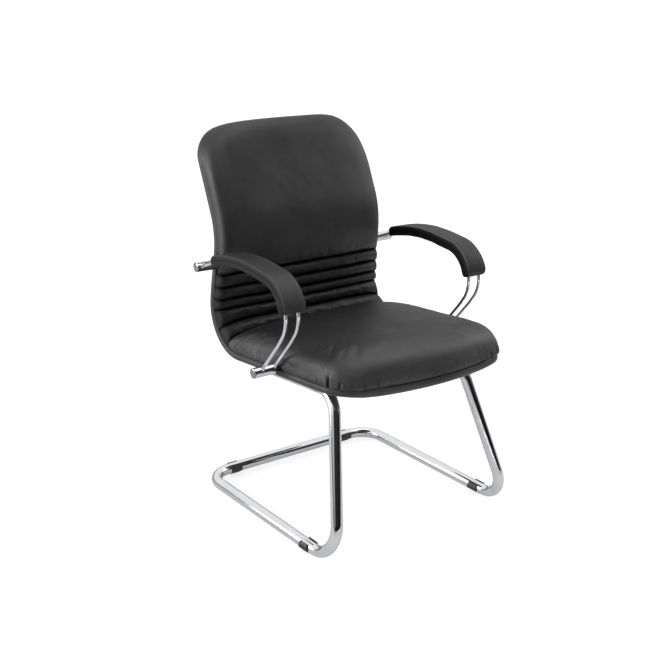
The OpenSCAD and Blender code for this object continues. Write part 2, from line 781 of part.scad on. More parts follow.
module saddle_screws() {
    color("gray")
        each_saddle_screw() {
            translate([0, 0, -saddle_t - screw_head_t])
                cylinder(h = screw_head_t, r = screw_head_r);
            translate([0, 0, -saddle_t - lip])
                cylinder(h = saddle_screw_run + saddle_t + lip, r = saddle_screw_r);
        }
}

// Route of the arm rods, from the lower cross tube over the front corner to the upper one
arm_low = beside(seat_at(lower_cross_s), cross_axis_d);
arm_high = beside(seat_at(upper_cross_s), cross_axis_d);
arm_points = [arm_low, arm_low + [-knuckle_reach, knuckle_rise],
    arm_low + [-arm_front_reach, arm_front_rise], arm_high + [-crest_reach, crest_rise], arm_high];

// Turn at corner i of a flat route
function turn_at(p, i) = let (u = p[i] - p[i - 1], v = p[i + 1] - p[i])
    atan2(u[0] * v[1] - u[1] * v[0], u * v);
function leg(i) = norm(arm_points[i + 1] - arm_points[i]);

// Length that the bend at each corner takes off the two legs beside it, and the bends' radii
front_cut = arm_front_share * min(leg(1), leg(2));
arm_cuts = [0, knuckle_share * min(leg(0), leg(1) - front_cut), front_cut,
    crest_share * min(leg(2) - front_cut, leg(3)), 0];
arm_radii = [for (i = [1 : 3]) arm_cuts[i] / tan(abs(turn_at(arm_points, i)) / 2)];

arm_line = [for (i = [0 : 3]) each concat(
    i == 0 ? [] : [[arm_radii[i - 1] * abs(turn_at(arm_points, i)) * arc_share, turn_at(arm_points, i)]],
    [[leg(i) - arm_cuts[i] - arm_cuts[i + 1], 0]])];
first_leg = arm_points[1] - arm_points[0];
arm_start = [arm_low[0], arm_low[1], atan2(first_leg[1], first_leg[0])];
arm_len = run_start(arm_line, len(arm_line));
pad_end_s = arm_len - pad_rear_run;
pad_start_s = pad_end_s - pad_run;
arm_x = seat_w / 2 + arm_reach;
rod_r = rod_d / 2;

function rod_x(side, place) = side * (arm_x + place * rod_gap / 2);

// Rod on one side; place is 1 for the outer rod and -1 for the inner one
module arm_rod(side, place) {
    color("silver")
        difference() {
            bent_bar([for (p = arm_points) [rod_x(side, place), p[0], p[1]]], arm_radii, rod_r);
            cross_passage(lower_cross_s);
            cross_passage(upper_cross_s);
        }
}

// Core of an arm pad: two halves clamped round the rods
core_w = 48;
core_half_t = 6;
core_end_gap = 2;
core_screw_r = 1.8;
// Half size of the square channel that holds a rod; it follows the bends in straight steps
groove_gap = 0.8;
groove_half = rod_r + groove_gap;
core_head_r = 3.4;
core_head_t = 2.2;
core_screw_run = 7.5;
core_screw_shares = [0.37, 0.85];
core_screw_s = [for (f = core_screw_shares) pad_start_s + f * pad_run];

module each_core_screw(side, bottom) {
    for (s = core_screw_s)
        beside_line(arm_line, arm_start, s, side * arm_x, bottom)
            children();
}

module core_half(side, d0, d1) {
    color("dimgray")
        difference() {
            translate([side * arm_x, 0, 0])
                band(arm_line, arm_start, pad_start_s + core_end_gap, pad_end_s - core_end_gap,
                    d0, d1, core_w);
            for (place = [-1, 1])
                translate([rod_x(side, place), 0, 0])
                    band(arm_line, arm_start, pad_start_s, pad_end_s,
                        -groove_half, groove_half, 2 * groove_half);
            each_core_screw(side, -core_half_t)
                translate([0, 0, core_head_t - lip])
                    cylinder(h = core_screw_run + lip + fit_gap, r = core_screw_r + fit_gap);
            if (d0 < 0)
                each_core_screw(side, -core_half_t)
                    translate([0, 0, -overrun])
                        cylinder(h = core_head_t + overrun, r = core_head_r + fit_gap);
        }
}

module core_screws() {
    color("gray")
        for (side = [-1, 1])
            each_core_screw(side, -core_half_t) {
                cylinder(h = core_head_t, r = core_head_r);
                cylinder(h = core_head_t + core_screw_run, r = core_screw_r);
            }
}

// Arm pad: a padded sleeve round the core, with rounded ends
pad_steps = 16;
pad_power = 5;
pad_end_run = 20;
pad_end_wall = 2;
cavity_half_w = core_w / 2 + lip;
cavity_half_t = core_half_t + lip;

function pad_fill(s) = end_rise(min(s - pad_start_s, pad_end_s - s), pad_end_run, 2);
function pad_size(s, full, core) = core + pad_end_wall + (full - core - pad_end_wall) * pad_fill(s);
function pad_half(s) =
    pad_size(s, (pad_w + (pad_rear_w - pad_w) * (s - pad_start_s) / pad_run) / 2, cavity_half_w);

function arm_point(side, s, x, d) = let (q = beside(along(arm_line, arm_start, s), d))
    [side * arm_x + x, q[0], q[1]];

function pad_ring(side, s) = [for (k = [0 : pad_steps - 1])
    let (a = 360 * k / pad_steps,
        up = pad_size(s, pad_top, cavity_half_t), down = pad_size(s, pad_drop, cavity_half_t))
    arm_point(side, s, pad_half(s) * squared(cos(a), pad_power),
        (sin(a) > 0 ? up : down) * squared(sin(a), pad_power))];

function cavity_ring(side, s) = [for (k = [0 : pad_steps - 1])
    let (a = 360 * k / pad_steps, m = max(abs(cos(a)), abs(sin(a))))
    arm_point(side, s, cavity_half_w * cos(a) / m, cavity_half_t * sin(a) / m)];

pad_stops = spans(concat(
    [for (k = [1 : 3]) pad_start_s + pad_end_run * pow(k / 3, 3 / 2)],
    [for (s = knots(arm_line))
        if (s > pad_start_s + pad_end_run + lip && s < pad_end_s - pad_end_run - lip) s],
    [for (k = [3 : -1 : 1]) pad_end_s - pad_end_run * pow(k / 3, 3 / 2)]), pad_start_s, pad_end_s);

module arm_pad(side) {
    n = pad_steps;
    m = len(pad_stops);
    outer = [for (s = pad_stops) each pad_ring(side, s)];
    inner = [for (s = pad_stops) each cavity_ring(side, s)];
    skin = [for (j = [0 : m - 2], i = [0 : n - 1])
        let (a = j * n + i, b = j * n + (i + 1) % n)
        each [[a, b, b + n], [a, b + n, a + n]]];
    ends = [for (j = [0, m - 1], i = [0 : n - 1])
        let (a = j * n + i, b = j * n + (i + 1) % n, c = a + n * m, e = b + n * m)
        each j == 0 ? [[a, c, e], [a, e, b]] : [[a, e, c], [a, b, e]]];
    color("#1c1c1e")
        polyhedron(concat(outer, inner),
            concat(skin, [for (f = skin) reversed(f) + [n * m, n * m, n * m]], ends), convexity = 8);
}

// Seat bolts with their washers, spacers and tee nuts
washer_t = 1.6;
washer_r = 8;
bolt_head_r = 7;
bolt_head_t = 5.3;
spacer_r = 8;
plate_bottom_d = plate_top_d - plate_t;
bolt_tip_d = shell_t - tee_flange_t;

module seat_bolts() {
    color("gray")
        each_bolt(plate_bottom_d - washer_t - bolt_head_t) {
            cylinder(h = bolt_head_t, r = bolt_head_r, $fn = 6);
            cylinder(h = bolt_tip_d - plate_bottom_d + washer_t + bolt_head_t, r = bolt_d / 2);
        }
}

module ring_on_bolts(d, t, r) {
    each_bolt(d)
        difference() {
            cylinder(h = t, r = r);
            translate([0, 0, -overrun])
                cylinder(h = t + 2 * overrun, r = bolt_d / 2 + bolt_clear);
        }
}

module seat_washers() {
    color("gray")
        ring_on_bolts(plate_bottom_d - washer_t, washer_t, washer_r);
}

module seat_spacers() {
    color("gray")
        ring_on_bolts(cover_recess_d + fit_gap, -cover_recess_d - fit_gap, spacer_r);
}

module tee_nuts() {
    color("gray")
        difference() {
            each_bolt(0) {
                translate([0, 0, overrun])
                    cylinder(h = shell_t - overrun, r = tee_r);
                translate([0, 0, shell_t - tee_flange_t])
                    cylinder(h = tee_flange_t, r = tee_flange_r);
            }
            each_bolt(0)
                cylinder(h = shell_t + overrun, r = bolt_d / 2 + fit_gap);
        }
}

frame_tube();
rail_plug(-1);  // left_rail_plug
rail_plug(1);  // right_rail_plug
cross_plate(front_plate_run);  // front_cross_plate
cross_plate(rear_plate_s);  // rear_cross_plate
rear_glide(-1);  // rear_left_glide
rear_glide(1);  // rear_right_glide
front_glide(-1);  // front_left_glide
front_glide(1);  // front_right_glide
seat_shell();
seat_cushion();
back_cushion();
seat_under_cover();
back_cover();
cross_tube(upper_cross_s, upper_cross_reach);  // upper_cross_tube
cross_tube(lower_cross_s, lower_cross_reach);  // lower_cross_tube
cross_cap(upper_cross_s, upper_cross_reach, -1);  // upper_left_cap
cross_cap(upper_cross_s, upper_cross_reach, 1);  // upper_right_cap
cross_cap(lower_cross_s, lower_cross_reach, -1);  // lower_left_cap
cross_cap(lower_cross_s, lower_cross_reach, 1);  // lower_right_cap
saddle(upper_cross_s, -1);  // upper_left_saddle
saddle(upper_cross_s, 1);  // upper_right_saddle
saddle(lower_cross_s, -1);  // lower_left_saddle
saddle(lower_cross_s, 1);  // lower_right_saddle
saddle_screws();
arm_rod(-1, 1);  // left_outer_rod
arm_rod(-1, -1);  // left_inner_rod
arm_rod(1, -1);  // right_inner_rod
arm_rod(1, 1);  // right_outer_rod
core_half(-1, -core_half_t, -fit_gap / 2);  // left_core_base
core_half(-1, fit_gap / 2, core_half_t);  // left_core_top
core_half(1, -core_half_t, -fit_gap / 2);  // right_core_base
core_half(1, fit_gap / 2, core_half_t);  // right_core_top
arm_pad(-1);  // left_arm_pad
arm_pad(1);  // right_arm_pad
core_screws();
seat_bolts();
seat_washers();
seat_spacers();
tee_nuts();
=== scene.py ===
# %% [markdown]
# # A cantilever office armchair
# The chair hangs on one bent chrome tube. A bent plywood shell carries the leather upholstery,
# two short cross tubes go through its sides, and each arm is a pair of thin chrome rods with a
# padded leather sleeve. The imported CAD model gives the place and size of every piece, so it is
# loaded first and its box is kept.

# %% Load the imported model
import math

import bmesh
import bpy
import numpy as np
from mathutils import Matrix


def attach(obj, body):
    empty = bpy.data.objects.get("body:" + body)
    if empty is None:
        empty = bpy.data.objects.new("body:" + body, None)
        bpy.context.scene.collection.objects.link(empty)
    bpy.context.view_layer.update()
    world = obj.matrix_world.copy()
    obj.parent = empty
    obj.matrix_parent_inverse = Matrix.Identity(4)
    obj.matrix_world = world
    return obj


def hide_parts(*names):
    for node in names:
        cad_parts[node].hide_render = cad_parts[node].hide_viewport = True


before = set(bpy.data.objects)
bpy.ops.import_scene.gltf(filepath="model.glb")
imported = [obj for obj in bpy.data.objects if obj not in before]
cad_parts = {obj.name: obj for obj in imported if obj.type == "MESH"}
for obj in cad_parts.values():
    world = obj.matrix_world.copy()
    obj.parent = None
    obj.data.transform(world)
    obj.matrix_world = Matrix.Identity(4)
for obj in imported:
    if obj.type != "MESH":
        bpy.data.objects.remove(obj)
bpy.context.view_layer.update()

# %% [markdown]
# ## Camera
# The photograph was taken from the chair's left front, a little above the arms. Lens, place and
# angles come from a fit of the chair's known points to the picture, so the picture's frame is
# the render's frame and no shift is needed. A camera looks along its own minus Z, so its three
# axes are worked out from azimuth, elevation and roll and put into its matrix.

# %% Place the camera
CAMERA_PLACE = (-1.605146, -2.082549, 1.304931)
AZIMUTH, ELEVATION, ROLL = math.radians(-36.616), math.radians(18.279), math.radians(0.467)
LENS, SENSOR = 60.204, 36.0


def camera_axes(azimuth, elevation, roll):
    """Right, up and back of the camera: back points from the object to the camera, right lies
    level, up is back x right, and the roll turns right and up about back."""
    back = np.array([math.sin(azimuth) * math.cos(elevation),
                     -math.cos(azimuth) * math.cos(elevation), math.sin(elevation)])
    right = np.array([math.cos(azimuth), math.sin(azimuth), 0.0])
    up = np.cross(back, right)
    return (right * math.cos(roll) + up * math.sin(roll),
            up * math.cos(roll) - right * math.sin(roll), back)


def placed(axes, place):
    """Matrix whose columns are three axes and a place."""
    matrix = np.eye(4)
    matrix[:3, :3], matrix[:3, 3] = np.stack(axes, 1), place
    return Matrix(matrix.tolist())


camera = bpy.data.objects.new("camera", bpy.data.cameras.new("camera"))
bpy.context.scene.collection.objects.link(camera)
camera.matrix_world = placed(camera_axes(AZIMUTH, ELEVATION, ROLL), CAMERA_PLACE)
camera.data.lens, camera.data.sensor_width = LENS, SENSOR
bpy.context.scene.camera = camera
print("camera at", CAMERA_PLACE, "lens", LENS)

# %% [markdown]
# ## Nodes for materials
# Every finish is a Principled shader with a few texture nodes in front of it. Small helpers make
# a node, set its options and fill its inputs, with a value or with another node's output, so
# that each material below reads like a recipe. All textures read the object's coordinates.

# %% Material helpers
def add(tree, kind, inputs=None, **options):
    """New node of a kind; inputs maps a socket to a value or to another node's output."""
    made = tree.nodes.new("ShaderNode" + kind)
    for name, value in options.items():
        setattr(made, name, value)
    for socket, value in (inputs or {}).items():
        if isinstance(value, bpy.types.NodeSocket):
            tree.links.new(value, made.inputs[socket])
        else:
            made.inputs[socket].default_value = value
    return made


def combined(tree, operation, *values):
    """Result of a Math node over values or outputs."""
    return add(tree, "Math", dict(enumerate(values)), operation=operation).outputs["Value"]


def noise(tree, place, scale, detail, **more):
    """Noise from 0 to 1, with a scale in cells to the metre."""
    inputs = {"Vector": place, "Scale": scale, "Detail": detail, **more}
    return add(tree, "TexNoise", inputs).outputs["Fac"]


def ramp(tree, source, stops):
    """Colour ramp over a source; stops are (place, grey or colour)."""
    made = add(tree, "ValToRGB", {"Fac": source})
    spread = made.color_ramp.elements
    while len(spread) < len(stops):
        spread.new(0.5)
    for element, (place, tone) in zip(spread, stops):
        element.position = place
        element.color = (*(tone if isinstance(tone, tuple) else (tone,) * 3), 1.0)
    return made.outputs["Color"]


def finish(name, **sockets):
    """New material; sockets are set on its Principled shader. Returns it, its tree, its shader
    and the object's coordinates."""
    made = bpy.data.materials.new(name)
    made.use_nodes = True
    tree = made.node_tree
    shader = tree.nodes["Principled BSDF"]
    for socket, value in sockets.items():
        shader.inputs[socket.replace("_", " ")].default_value = value
    return made, tree, shader, add(tree, "TexCoord").outputs["Object"]


def ramped(tree, shader, socket, source, low, high):
    """Ramp between two stops over a source, linked to a shader's socket."""
    tree.links.new(ramp(tree, source, [low, high]), shader.inputs[socket])


def bumped(tree, shader, height, strength, distance, under=None):
    """Bump from a height; under is an earlier bump's normal, which this one adds to."""
    inputs = {"Height": height, "Strength": strength, "Distance": distance}
    if under is not None:
        inputs["Normal"] = under
    normal = add(tree, "Bump", inputs).outputs["Normal"]
    tree.links.new(normal, shader.inputs["Normal"])
    return normal


print("material helpers ready, materials so far:", len(bpy.data.materials))

# %% [markdown]
# ## Leather
# Black upholstery leather isn't black: it is a very dark grey with a soft, wide sheen. Up close
# it has a pebbled grain of cells about a millimetre wide, finer pores inside them, and larger
# patches that are a little more polished where people sit. The grain is a Voronoi pattern whose
# coordinates are pushed about by noise, so that its cells aren't regular. A point attribute holds
# painted shade: low in creases, seams, pinches and on the pads' sides, and high on lit crests and
# the pads' ridges. It darkens the colour and the sheen in the shade, and together with the
# polished patches it makes lit crests smoother and lighter.

# %% Leather material
def leather(name, dark, light, rough, cell):
    """Leather with grain cells of a size in metres, between two tones."""
    made, tree, shader, place = finish(name)
    push = add(tree, "TexNoise", {"Vector": place, "Scale": 0.45 / cell, "Detail": 2.0})
    pushed = add(tree, "MixRGB", {"Fac": 0.0012, "Color1": place, "Color2": push.outputs["Color"]},
                 blend_type="ADD").outputs["Color"]
    cells = add(tree, "TexVoronoi", {"Vector": pushed, "Scale": 1.0 / cell},
                feature="DISTANCE_TO_EDGE").outputs["Distance"]
    # painted shade: this attribute darkens the colour and the sheen where shade falls, and with
    # the polished patches it sets tone and roughness
    crown = add(tree, "Attribute", attribute_name="crown").outputs["Fac"]
    shade = ramp(tree, crown, [(0.0, 0.08), (0.75, 1.0)])
    wear_and_shade = combined(tree, "MULTIPLY", noise(tree, place, 11.0, 4.0), crown)
    tone = ramp(tree, wear_and_shade, [(0.25, dark), (0.62, light)])
    shaded = add(tree, "MixRGB", {"Fac": 1.0, "Color1": tone, "Color2": shade},
                 blend_type="MULTIPLY")
    tree.links.new(shaded.outputs["Color"], shader.inputs["Base Color"])
    tree.links.new(combined(tree, "MULTIPLY", shade, 0.5), shader.inputs["Specular IOR Level"])
    ramped(tree, shader, "Roughness", wear_and_shade, (0.1, rough + 0.09), (0.65, rough - 0.03))
    grain = ramp(tree, cells, [(0.0, 0.0), (0.16, 0.8), (0.5, 1.0)])
    first = bumped(tree, shader, grain, 0.35, 0.0004)
    bumped(tree, shader, noise(tree, place, 2.2 / cell, 3.0), 0.25, 0.0002, first)
    return made


SEAT_TONES = (0.008, 0.008, 0.0088), (0.015, 0.015, 0.016)
PAD_TONES = (0.011, 0.011, 0.012), (0.019, 0.019, 0.0205)
seat_leather = leather("black_leather_hide", *SEAT_TONES, 0.40, 0.0013)
pad_leather = leather("pad_leather_hide", *PAD_TONES, 0.42, 0.0011)
print("leather:", seat_leather.name, pad_leather.name)

# %% [markdown]
# ## Chrome
# Chrome plate is a nearly perfect mirror with a faint blue cast. What keeps it from looking like
# computer chrome is small: a very slight unevenness of the polished tube under the plate, and
# faint wiping marks that change the roughness in patches along the tube. The caps in the tube
# ends are rougher, and their plate is dimmed as painted shade, so they mirror the side lamp less.

# %% Chrome material
CHROME_TONES = (0.74, 0.745, 0.775), (0.83, 0.835, 0.86)


def chrome(name, rough, share=1.0):
    """Plate with wiping marks and a slight ripple of the metal under it; share dims its colour as
    painted shade.
    """
    made, tree, shader, place = finish(name, Metallic=1.0)
    marks = noise(tree, place, 26.0, 6.0, Roughness=0.65)
    low, high = [tuple(share * v for v in tone) for tone in CHROME_TONES]
    ramped(tree, shader, "Base Color", marks, (0.3, low), (0.7, high))
    ramped(tree, shader, "Roughness", marks, (0.35, rough), (0.75, rough + 0.05))
    bumped(tree, shader, noise(tree, place, 60.0, 1.0), 0.04, 0.001)
    return made


tube_chrome = chrome("frame_chrome", 0.045)
rod_chrome = chrome("rod_chrome", 0.035)
# painted shade: the caps' plate is a dimmed copy of the chrome
cap_chrome = chrome("cap_chrome", 0.12, 0.42)
print("chrome:", tube_chrome.name, rod_chrome.name, cap_chrome.name)

# %% [markdown]
# ## Plastic, steel and plywood
# The clips under the rails and the plugs in the tube ends are moulded plastic with a fine spark
# texture. The flat plates under the seat are steel with a black powder coat, which has a soft
# orange peel. Screws and bolts are zinc plated, with crystals that differ in tone. The shell is
# birch plywood: its edge shows plies as stripes across the sheet, and its face long grain.

# %% Small materials
def moulded(name, tone, rough):
    """Moulded plastic: even tone, fine spark texture, slight patches of gloss."""
    made, tree, shader, place = finish(name)
    patches = noise(tree, place, 90.0, 3.0)
    ramped(tree, shader, "Base Color", patches, (0.3, tone), (0.7, tuple(1.35 * v for v in tone)))
    ramped(tree, shader, "Roughness", patches, (0.3, rough), (0.7, rough + 0.08))
    bumped(tree, shader, noise(tree, place, 2600.0, 2.0), 0.2, 0.0002)
    return made


def powder_coat(name):
    """Black powder coat: soft orange peel and a little dust over steel."""
    made, tree, shader, place = finish(name, Coat_Weight=0.2, Coat_Roughness=0.3)
    dust = noise(tree, place, 40.0, 5.0)
    ramped(tree, shader, "Base Color", dust, (0.3, 0.018), (0.8, 0.03))
    ramped(tree, shader, "Roughness", dust, (0.3, 0.38), (0.8, 0.5))
    bumped(tree, shader, noise(tree, place, 700.0, 2.0), 0.3, 0.0003)
    return made


def zinc(name):
    """Zinc plate: small crystals, each a little lighter or darker, on dull metal."""
    made, tree, shader, place = finish(name, Metallic=1.0)
    crystals = add(tree, "TexVoronoi", {"Vector": place, "Scale": 900.0}).outputs["Color"]
    ramped(tree, shader, "Base Color", crystals, (0.0, (0.50, 0.51, 0.50)),
           (1.0, (0.66, 0.67, 0.64)))
    ramped(tree, shader, "Roughness", crystals, (0.0, 0.28), (1.0, 0.42))
    bumped(tree, shader, noise(tree, place, 1500.0, 2.0), 0.15, 0.0001)
    return made


def plywood(name):
    """Birch plywood: stretched noise for the face grain, and stripes for the plies."""
    made, tree, shader, place = finish(name)
    long = add(tree, "Mapping", {"Vector": place, "Scale": (60.0, 5.0, 5.0)}).outputs["Vector"]
    grain = noise(tree, long, 2.0, 8.0, Distortion=0.6)
    plies = add(tree, "TexWave", {"Vector": place, "Scale": 210.0, "Distortion": 0.4},
                bands_direction="Z").outputs["Fac"]
    mixed = combined(tree, "MULTIPLY_ADD", grain, plies, 0.35)
    ramped(tree, shader, "Base Color", mixed, (0.3, (0.36, 0.22, 0.11)), (0.9, (0.62, 0.44, 0.26)))
    ramped(tree, shader, "Roughness", grain, (0.3, 0.62), (0.7, 0.5))
    bumped(tree, shader, grain, 0.2, 0.0004)
    return made


black_plastic = moulded("clip_plastic", (0.018, 0.018, 0.019), 0.42)
core_plastic = moulded("core_plastic", (0.08, 0.08, 0.082), 0.5)
coated_steel = powder_coat("coated_steel")
zinc_steel = zinc("zinc_steel")
birch = plywood("birch_plywood")
print("small materials:", len(bpy.data.materials), "in all")

# %% [markdown]
# ## Finish for the CAD pieces that stay
# The shell, plates, plugs, cores, saddles, screws and bolts have the right shape already. They
# only get the better material in their slots.

# %% Finish the CAD pieces that stay
CAD_FINISH = {
    black_plastic: ["left_rail_plug", "right_rail_plug"],
    core_plastic: ["left_core_base", "left_core_top", "right_core_base", "right_core_top"],
    coated_steel: ["front_cross_plate", "rear_cross_plate"],
    zinc_steel: ["saddle_screws", "core_screws", "seat_bolts", "seat_washers", "seat_spacers",
                 "tee_nuts", "upper_left_saddle", "upper_right_saddle", "lower_left_saddle",
                 "lower_right_saddle"],
    birch: ["seat_shell"],
}
for material, names in CAD_FINISH.items():
    for name in names:
        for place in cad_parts[name].material_slots:
            place.material = material
print("CAD pieces that stay:", sum(len(names) for names in CAD_FINISH.values()))

# %% [markdown]
# ## Surfaces on grids
# Each new piece is a surface worked out as an array of points, rows by columns. The helper below
# joins neighbouring points into four-sided faces, merges points that coincide, such as those at a
# pole, turns all faces outwards, gives the piece its material and its body, and hides the CAD
# piece that it stands for. Lengths in this script are millimetres, as on a drawing, and become
# metres here.

# %% Mesh helpers
MM, MERGE, SLIVER, SHARP_ANGLE = 0.001, 2e-6, 1e-7, 50


def grid_faces(rows, columns, around=False):
    """Quads of a grid: (i, j), (i, j+1), (i+1, j+1), (i+1, j); around joins the last column
    to the first."""
    i, j = np.meshgrid(np.arange(rows - 1), np.arange(columns if around else columns - 1),
                       indexing="ij")
    k = (j + 1) % columns
    return np.stack([i * columns + j, i * columns + k,
                     (i + 1) * columns + k, (i + 1) * columns + j], -1).reshape(-1, 4)


def make_piece(name, points, faces, material, slot, node, crown=None, sewn=None):
    """Mesh object from points in millimetres and lists of faces, closed and turned outwards, in
    place of a CAD node."""
    mesh = bpy.data.meshes.new(name)
    mesh.from_pydata((np.reshape(points, (-1, 3)) * MM).tolist(), [],
                     [f for group in faces for f in np.asarray(group).tolist()])
    for title, values in (("crown", crown), ("sewn", sewn)):
        if values is not None:
            layer = mesh.attributes.new(title, "FLOAT", "POINT")
            layer.data.foreach_set("value", np.ravel(values).astype(np.float32))
    shape = bmesh.new()
    shape.from_mesh(mesh)
    bmesh.ops.remove_doubles(shape, verts=shape.verts, dist=MERGE)
    bmesh.ops.dissolve_degenerate(shape, edges=shape.edges, dist=SLIVER)
    bmesh.ops.recalc_face_normals(shape, faces=shape.faces)
    shape.to_mesh(mesh)
    shape.free()
    mesh.shade_smooth()
    mesh.set_sharp_from_angle(angle=math.radians(SHARP_ANGLE))
    piece = bpy.data.objects.new(name, mesh)
    bpy.context.scene.collection.objects.link(piece)
    mesh.materials.append(material)
    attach(piece, "root")
    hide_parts(node)
    return piece


def ringed_piece(name, node, grid, material, slot, **more):
    """Piece whose grid has closed rings as its rows."""
    return make_piece(name, grid, [grid_faces(*grid.shape[:2], around=True)], material, slot, node,
                      **more)


def ease(t):
    """Even rise from 0 to 1: t t (3 - 2 t) between the ends."""
    t = np.clip(t, 0, 1)
    return t * t * (3 - 2 * t)


LATTICE = 32


def lattice_noise(points, size, seed):
    """Soft noise from -1 to 1 with hills about size millimetres wide: random values on a cubic
    lattice, mixed over each cell with eased weights."""
    table = np.random.default_rng(seed).uniform(-1, 1, (LATTICE,) * 3)
    q = np.asarray(points) / size
    base = np.floor(q).astype(int)
    f = ease(q - base)
    total = 0.0
    for corner in range(8):
        step = np.array([corner & 1, corner >> 1 & 1, corner >> 2 & 1])
        weight = np.prod(np.where(step == 1, f, 1 - f), -1)
        i, j, k = np.moveaxis((base + step) % LATTICE, -1, 0)
        total = total + weight * table[i, j, k]
    return total


print("soft noise from", LATTICE, "values a side")


# %% [markdown]
# ## The seat and back line
# Seen from the side, the shell is one line: a straight seat that falls a little to the back, a
# tight bend, the lower back, a gentle bend the other way at the small of the back, and the upper
# back. Every soft piece is placed by its length along this line, its place across, and its
# distance beside it, so the line is the first thing that is worked out.

# %% Seat and back line
def bend(radius, turn):
    """Run of a line that turns by an angle in degrees at a radius: its length and its turn."""
    return (radius * math.radians(abs(turn)), math.radians(turn))


SEAT_RUN, LOWER_RUN, UPPER_RUN = 461.0, 132.0, 199.0
SEAT_BEND, LUMBAR_BEND = (85, 100.3), (200, -30)
SEAT_RUNS = [(SEAT_RUN, 0.0), bend(*SEAT_BEND), (LOWER_RUN, 0.0), bend(*LUMBAR_BEND),
             (UPPER_RUN, 0.0)]
REAR_RAIL_Y, SEAT_FRONT_RUN, SEAT_FRONT_H, SEAT_TILT = 267.0, 590.0, 441.5, 4.4
SEAT_START = (REAR_RAIL_Y - SEAT_FRONT_RUN, SEAT_FRONT_H, math.radians(-SEAT_TILT))
RUN_ENDS = np.cumsum([run[0] for run in SEAT_RUNS])
BEND_S, LOWER_BACK_S, LUMBAR_S, UPPER_BACK_S, SHELL_END_S = RUN_ENDS


def along(runs, start, s):
    """Place y, z and heading a at length s along a line. A straight run moves the place by
    s (cos a, sin a); a bend of radius r from a to b by r (sin b - sin a, cos a - cos b)."""
    s = np.asarray(s, float)
    y, z, a = (np.full(s.shape, v) for v in start)
    for i, (length, turn) in enumerate(runs):
        low, high = (-np.inf if i == 0 else 0), (np.inf if i == len(runs) - 1 else length)
        part = np.clip(s, low, high)
        if turn:
            r, b = length / turn, a + turn * part / length
            y, z, a = y + r * (np.sin(b) - np.sin(a)), z + r * (np.cos(a) - np.cos(b)), b
        else:
            y, z = y + part * np.cos(a), z + part * np.sin(a)
        s = s - part
    return y, z, a


def beside(place, d):
    """Point y, z at distance d to the left of a place with a heading."""
    y, z, a = place
    return y - d * np.sin(a), z + d * np.cos(a)


def seat_at(s):
    return along(SEAT_RUNS, SEAT_START, s)


print("length of the line", round(float(SHELL_END_S), 1), "mm, back top at",
      [round(float(v), 1) for v in seat_at(SHELL_END_S)[:2]])

# %% [markdown]
# ## Outline of the upholstery
# Across, the seat is widest at the front, narrows to the small of the back and stays so to the
# top. The front edge bows forward in the middle, and the corners are round. The outline is a
# function of the length along the line, so every surface below can ask for it.

# %% Outline functions
SEAT_W, WAIST_W, BACK_W = 504.0, 490.0, 488.0
FRONT_BOW, TOP_ARCH = 52.0, 4.0
SHELL_T, SHELL_INSET, SHELL_CORNER_R = 12.0, 15.0, 95.0
WAIST_S = LUMBAR_S + SEAT_RUNS[3][0] / 4
WIDE_S = UPPER_BACK_S + UPPER_RUN / 2
SEAM_DROP, GAP = 14.5, 0.3


def half_width(s):
    """Half width at length s: the seat's, eased to the waist's, eased to the back's."""
    return (SEAT_W + (WAIST_W - SEAT_W) * ease((s - LOWER_BACK_S) / (WAIST_S - LOWER_BACK_S))
            + (BACK_W - WAIST_W) * ease((s - WAIST_S) / (WIDE_S - WAIST_S))) / 2


def corner_cut(t, r):
    """What a round corner of radius r takes off at distance t from the end."""
    return np.where(t >= r, 0.0, r - np.sqrt(np.maximum(r * r - (r - np.maximum(t, 0)) ** 2, 0)))


def end_rise(t, run, power):
    """Rise from 0 to 1 over a run, upright at its start: (1 - (1 - t / run)^p)^(1 / p)."""
    return (1 - (1 - np.clip(t / run, 0, 1)) ** power) ** (1 / power)


def skin_point(s, x, d):
    """Point of the upholstery at length s, place x across and height d over the shell's under
    side; the length is moved by the bow of the front and the arch of the top, both with x x."""
    s, x, d = np.broadcast_arrays(s, x, d)
    s = (s + FRONT_BOW * (2 * x / SEAT_W) ** 2 * ease(1 - s / (SEAT_RUN / 2))
         - TOP_ARCH * (2 * x / BACK_W) ** 2 * ease(1 - (SHELL_END_S - s) / (UPPER_RUN / 2)))
    y, z = beside(seat_at(s), d)
    return np.stack([x, y, z], -1)


def shell_half(s):
    """Half width of the plywood shell with its round corners."""
    return (half_width(s) - SHELL_INSET + GAP - corner_cut(s + GAP, SHELL_CORNER_R)
            - corner_cut(SHELL_END_S + GAP - s, SHELL_CORNER_R))


print("half width at the front, waist and top:",
      [round(float(half_width(s)), 1) for s in (0.0, WAIST_S, SHELL_END_S)])

# %% [markdown]
# ## Rings of a cushion
# A cushion is skinned over rings, one for each length along the line. A ring is an arch with
# full shoulders, a superellipse, that starts and ends at the seam by the shell's edge, and below
# it a recess for the shell. The arch's points are spaced evenly along it, because equal steps of
# its angle would leave the middle of the seat with almost none.

# %% Ring functions
FORM_POWER, SEAT_POWER, NOSE_POWER, COVER_POWER = 4.3, 3.8, 3.0, 8.0
RECESS, FINE, SHUT = 4, 40001, 0.5


def even_angles(width, height, power, count):
    """Angles from 0 to pi whose points on a superelliptic arch are evenly spaced."""
    a = np.linspace(0, math.pi, FINE)
    x, d = width * squared(np.cos(a), power), height * squared(np.sin(a), power)
    run = np.concatenate([[0], np.cumsum(np.hypot(np.diff(x), np.diff(d)))])
    return np.interp(np.linspace(0, run[-1], count), run, a)


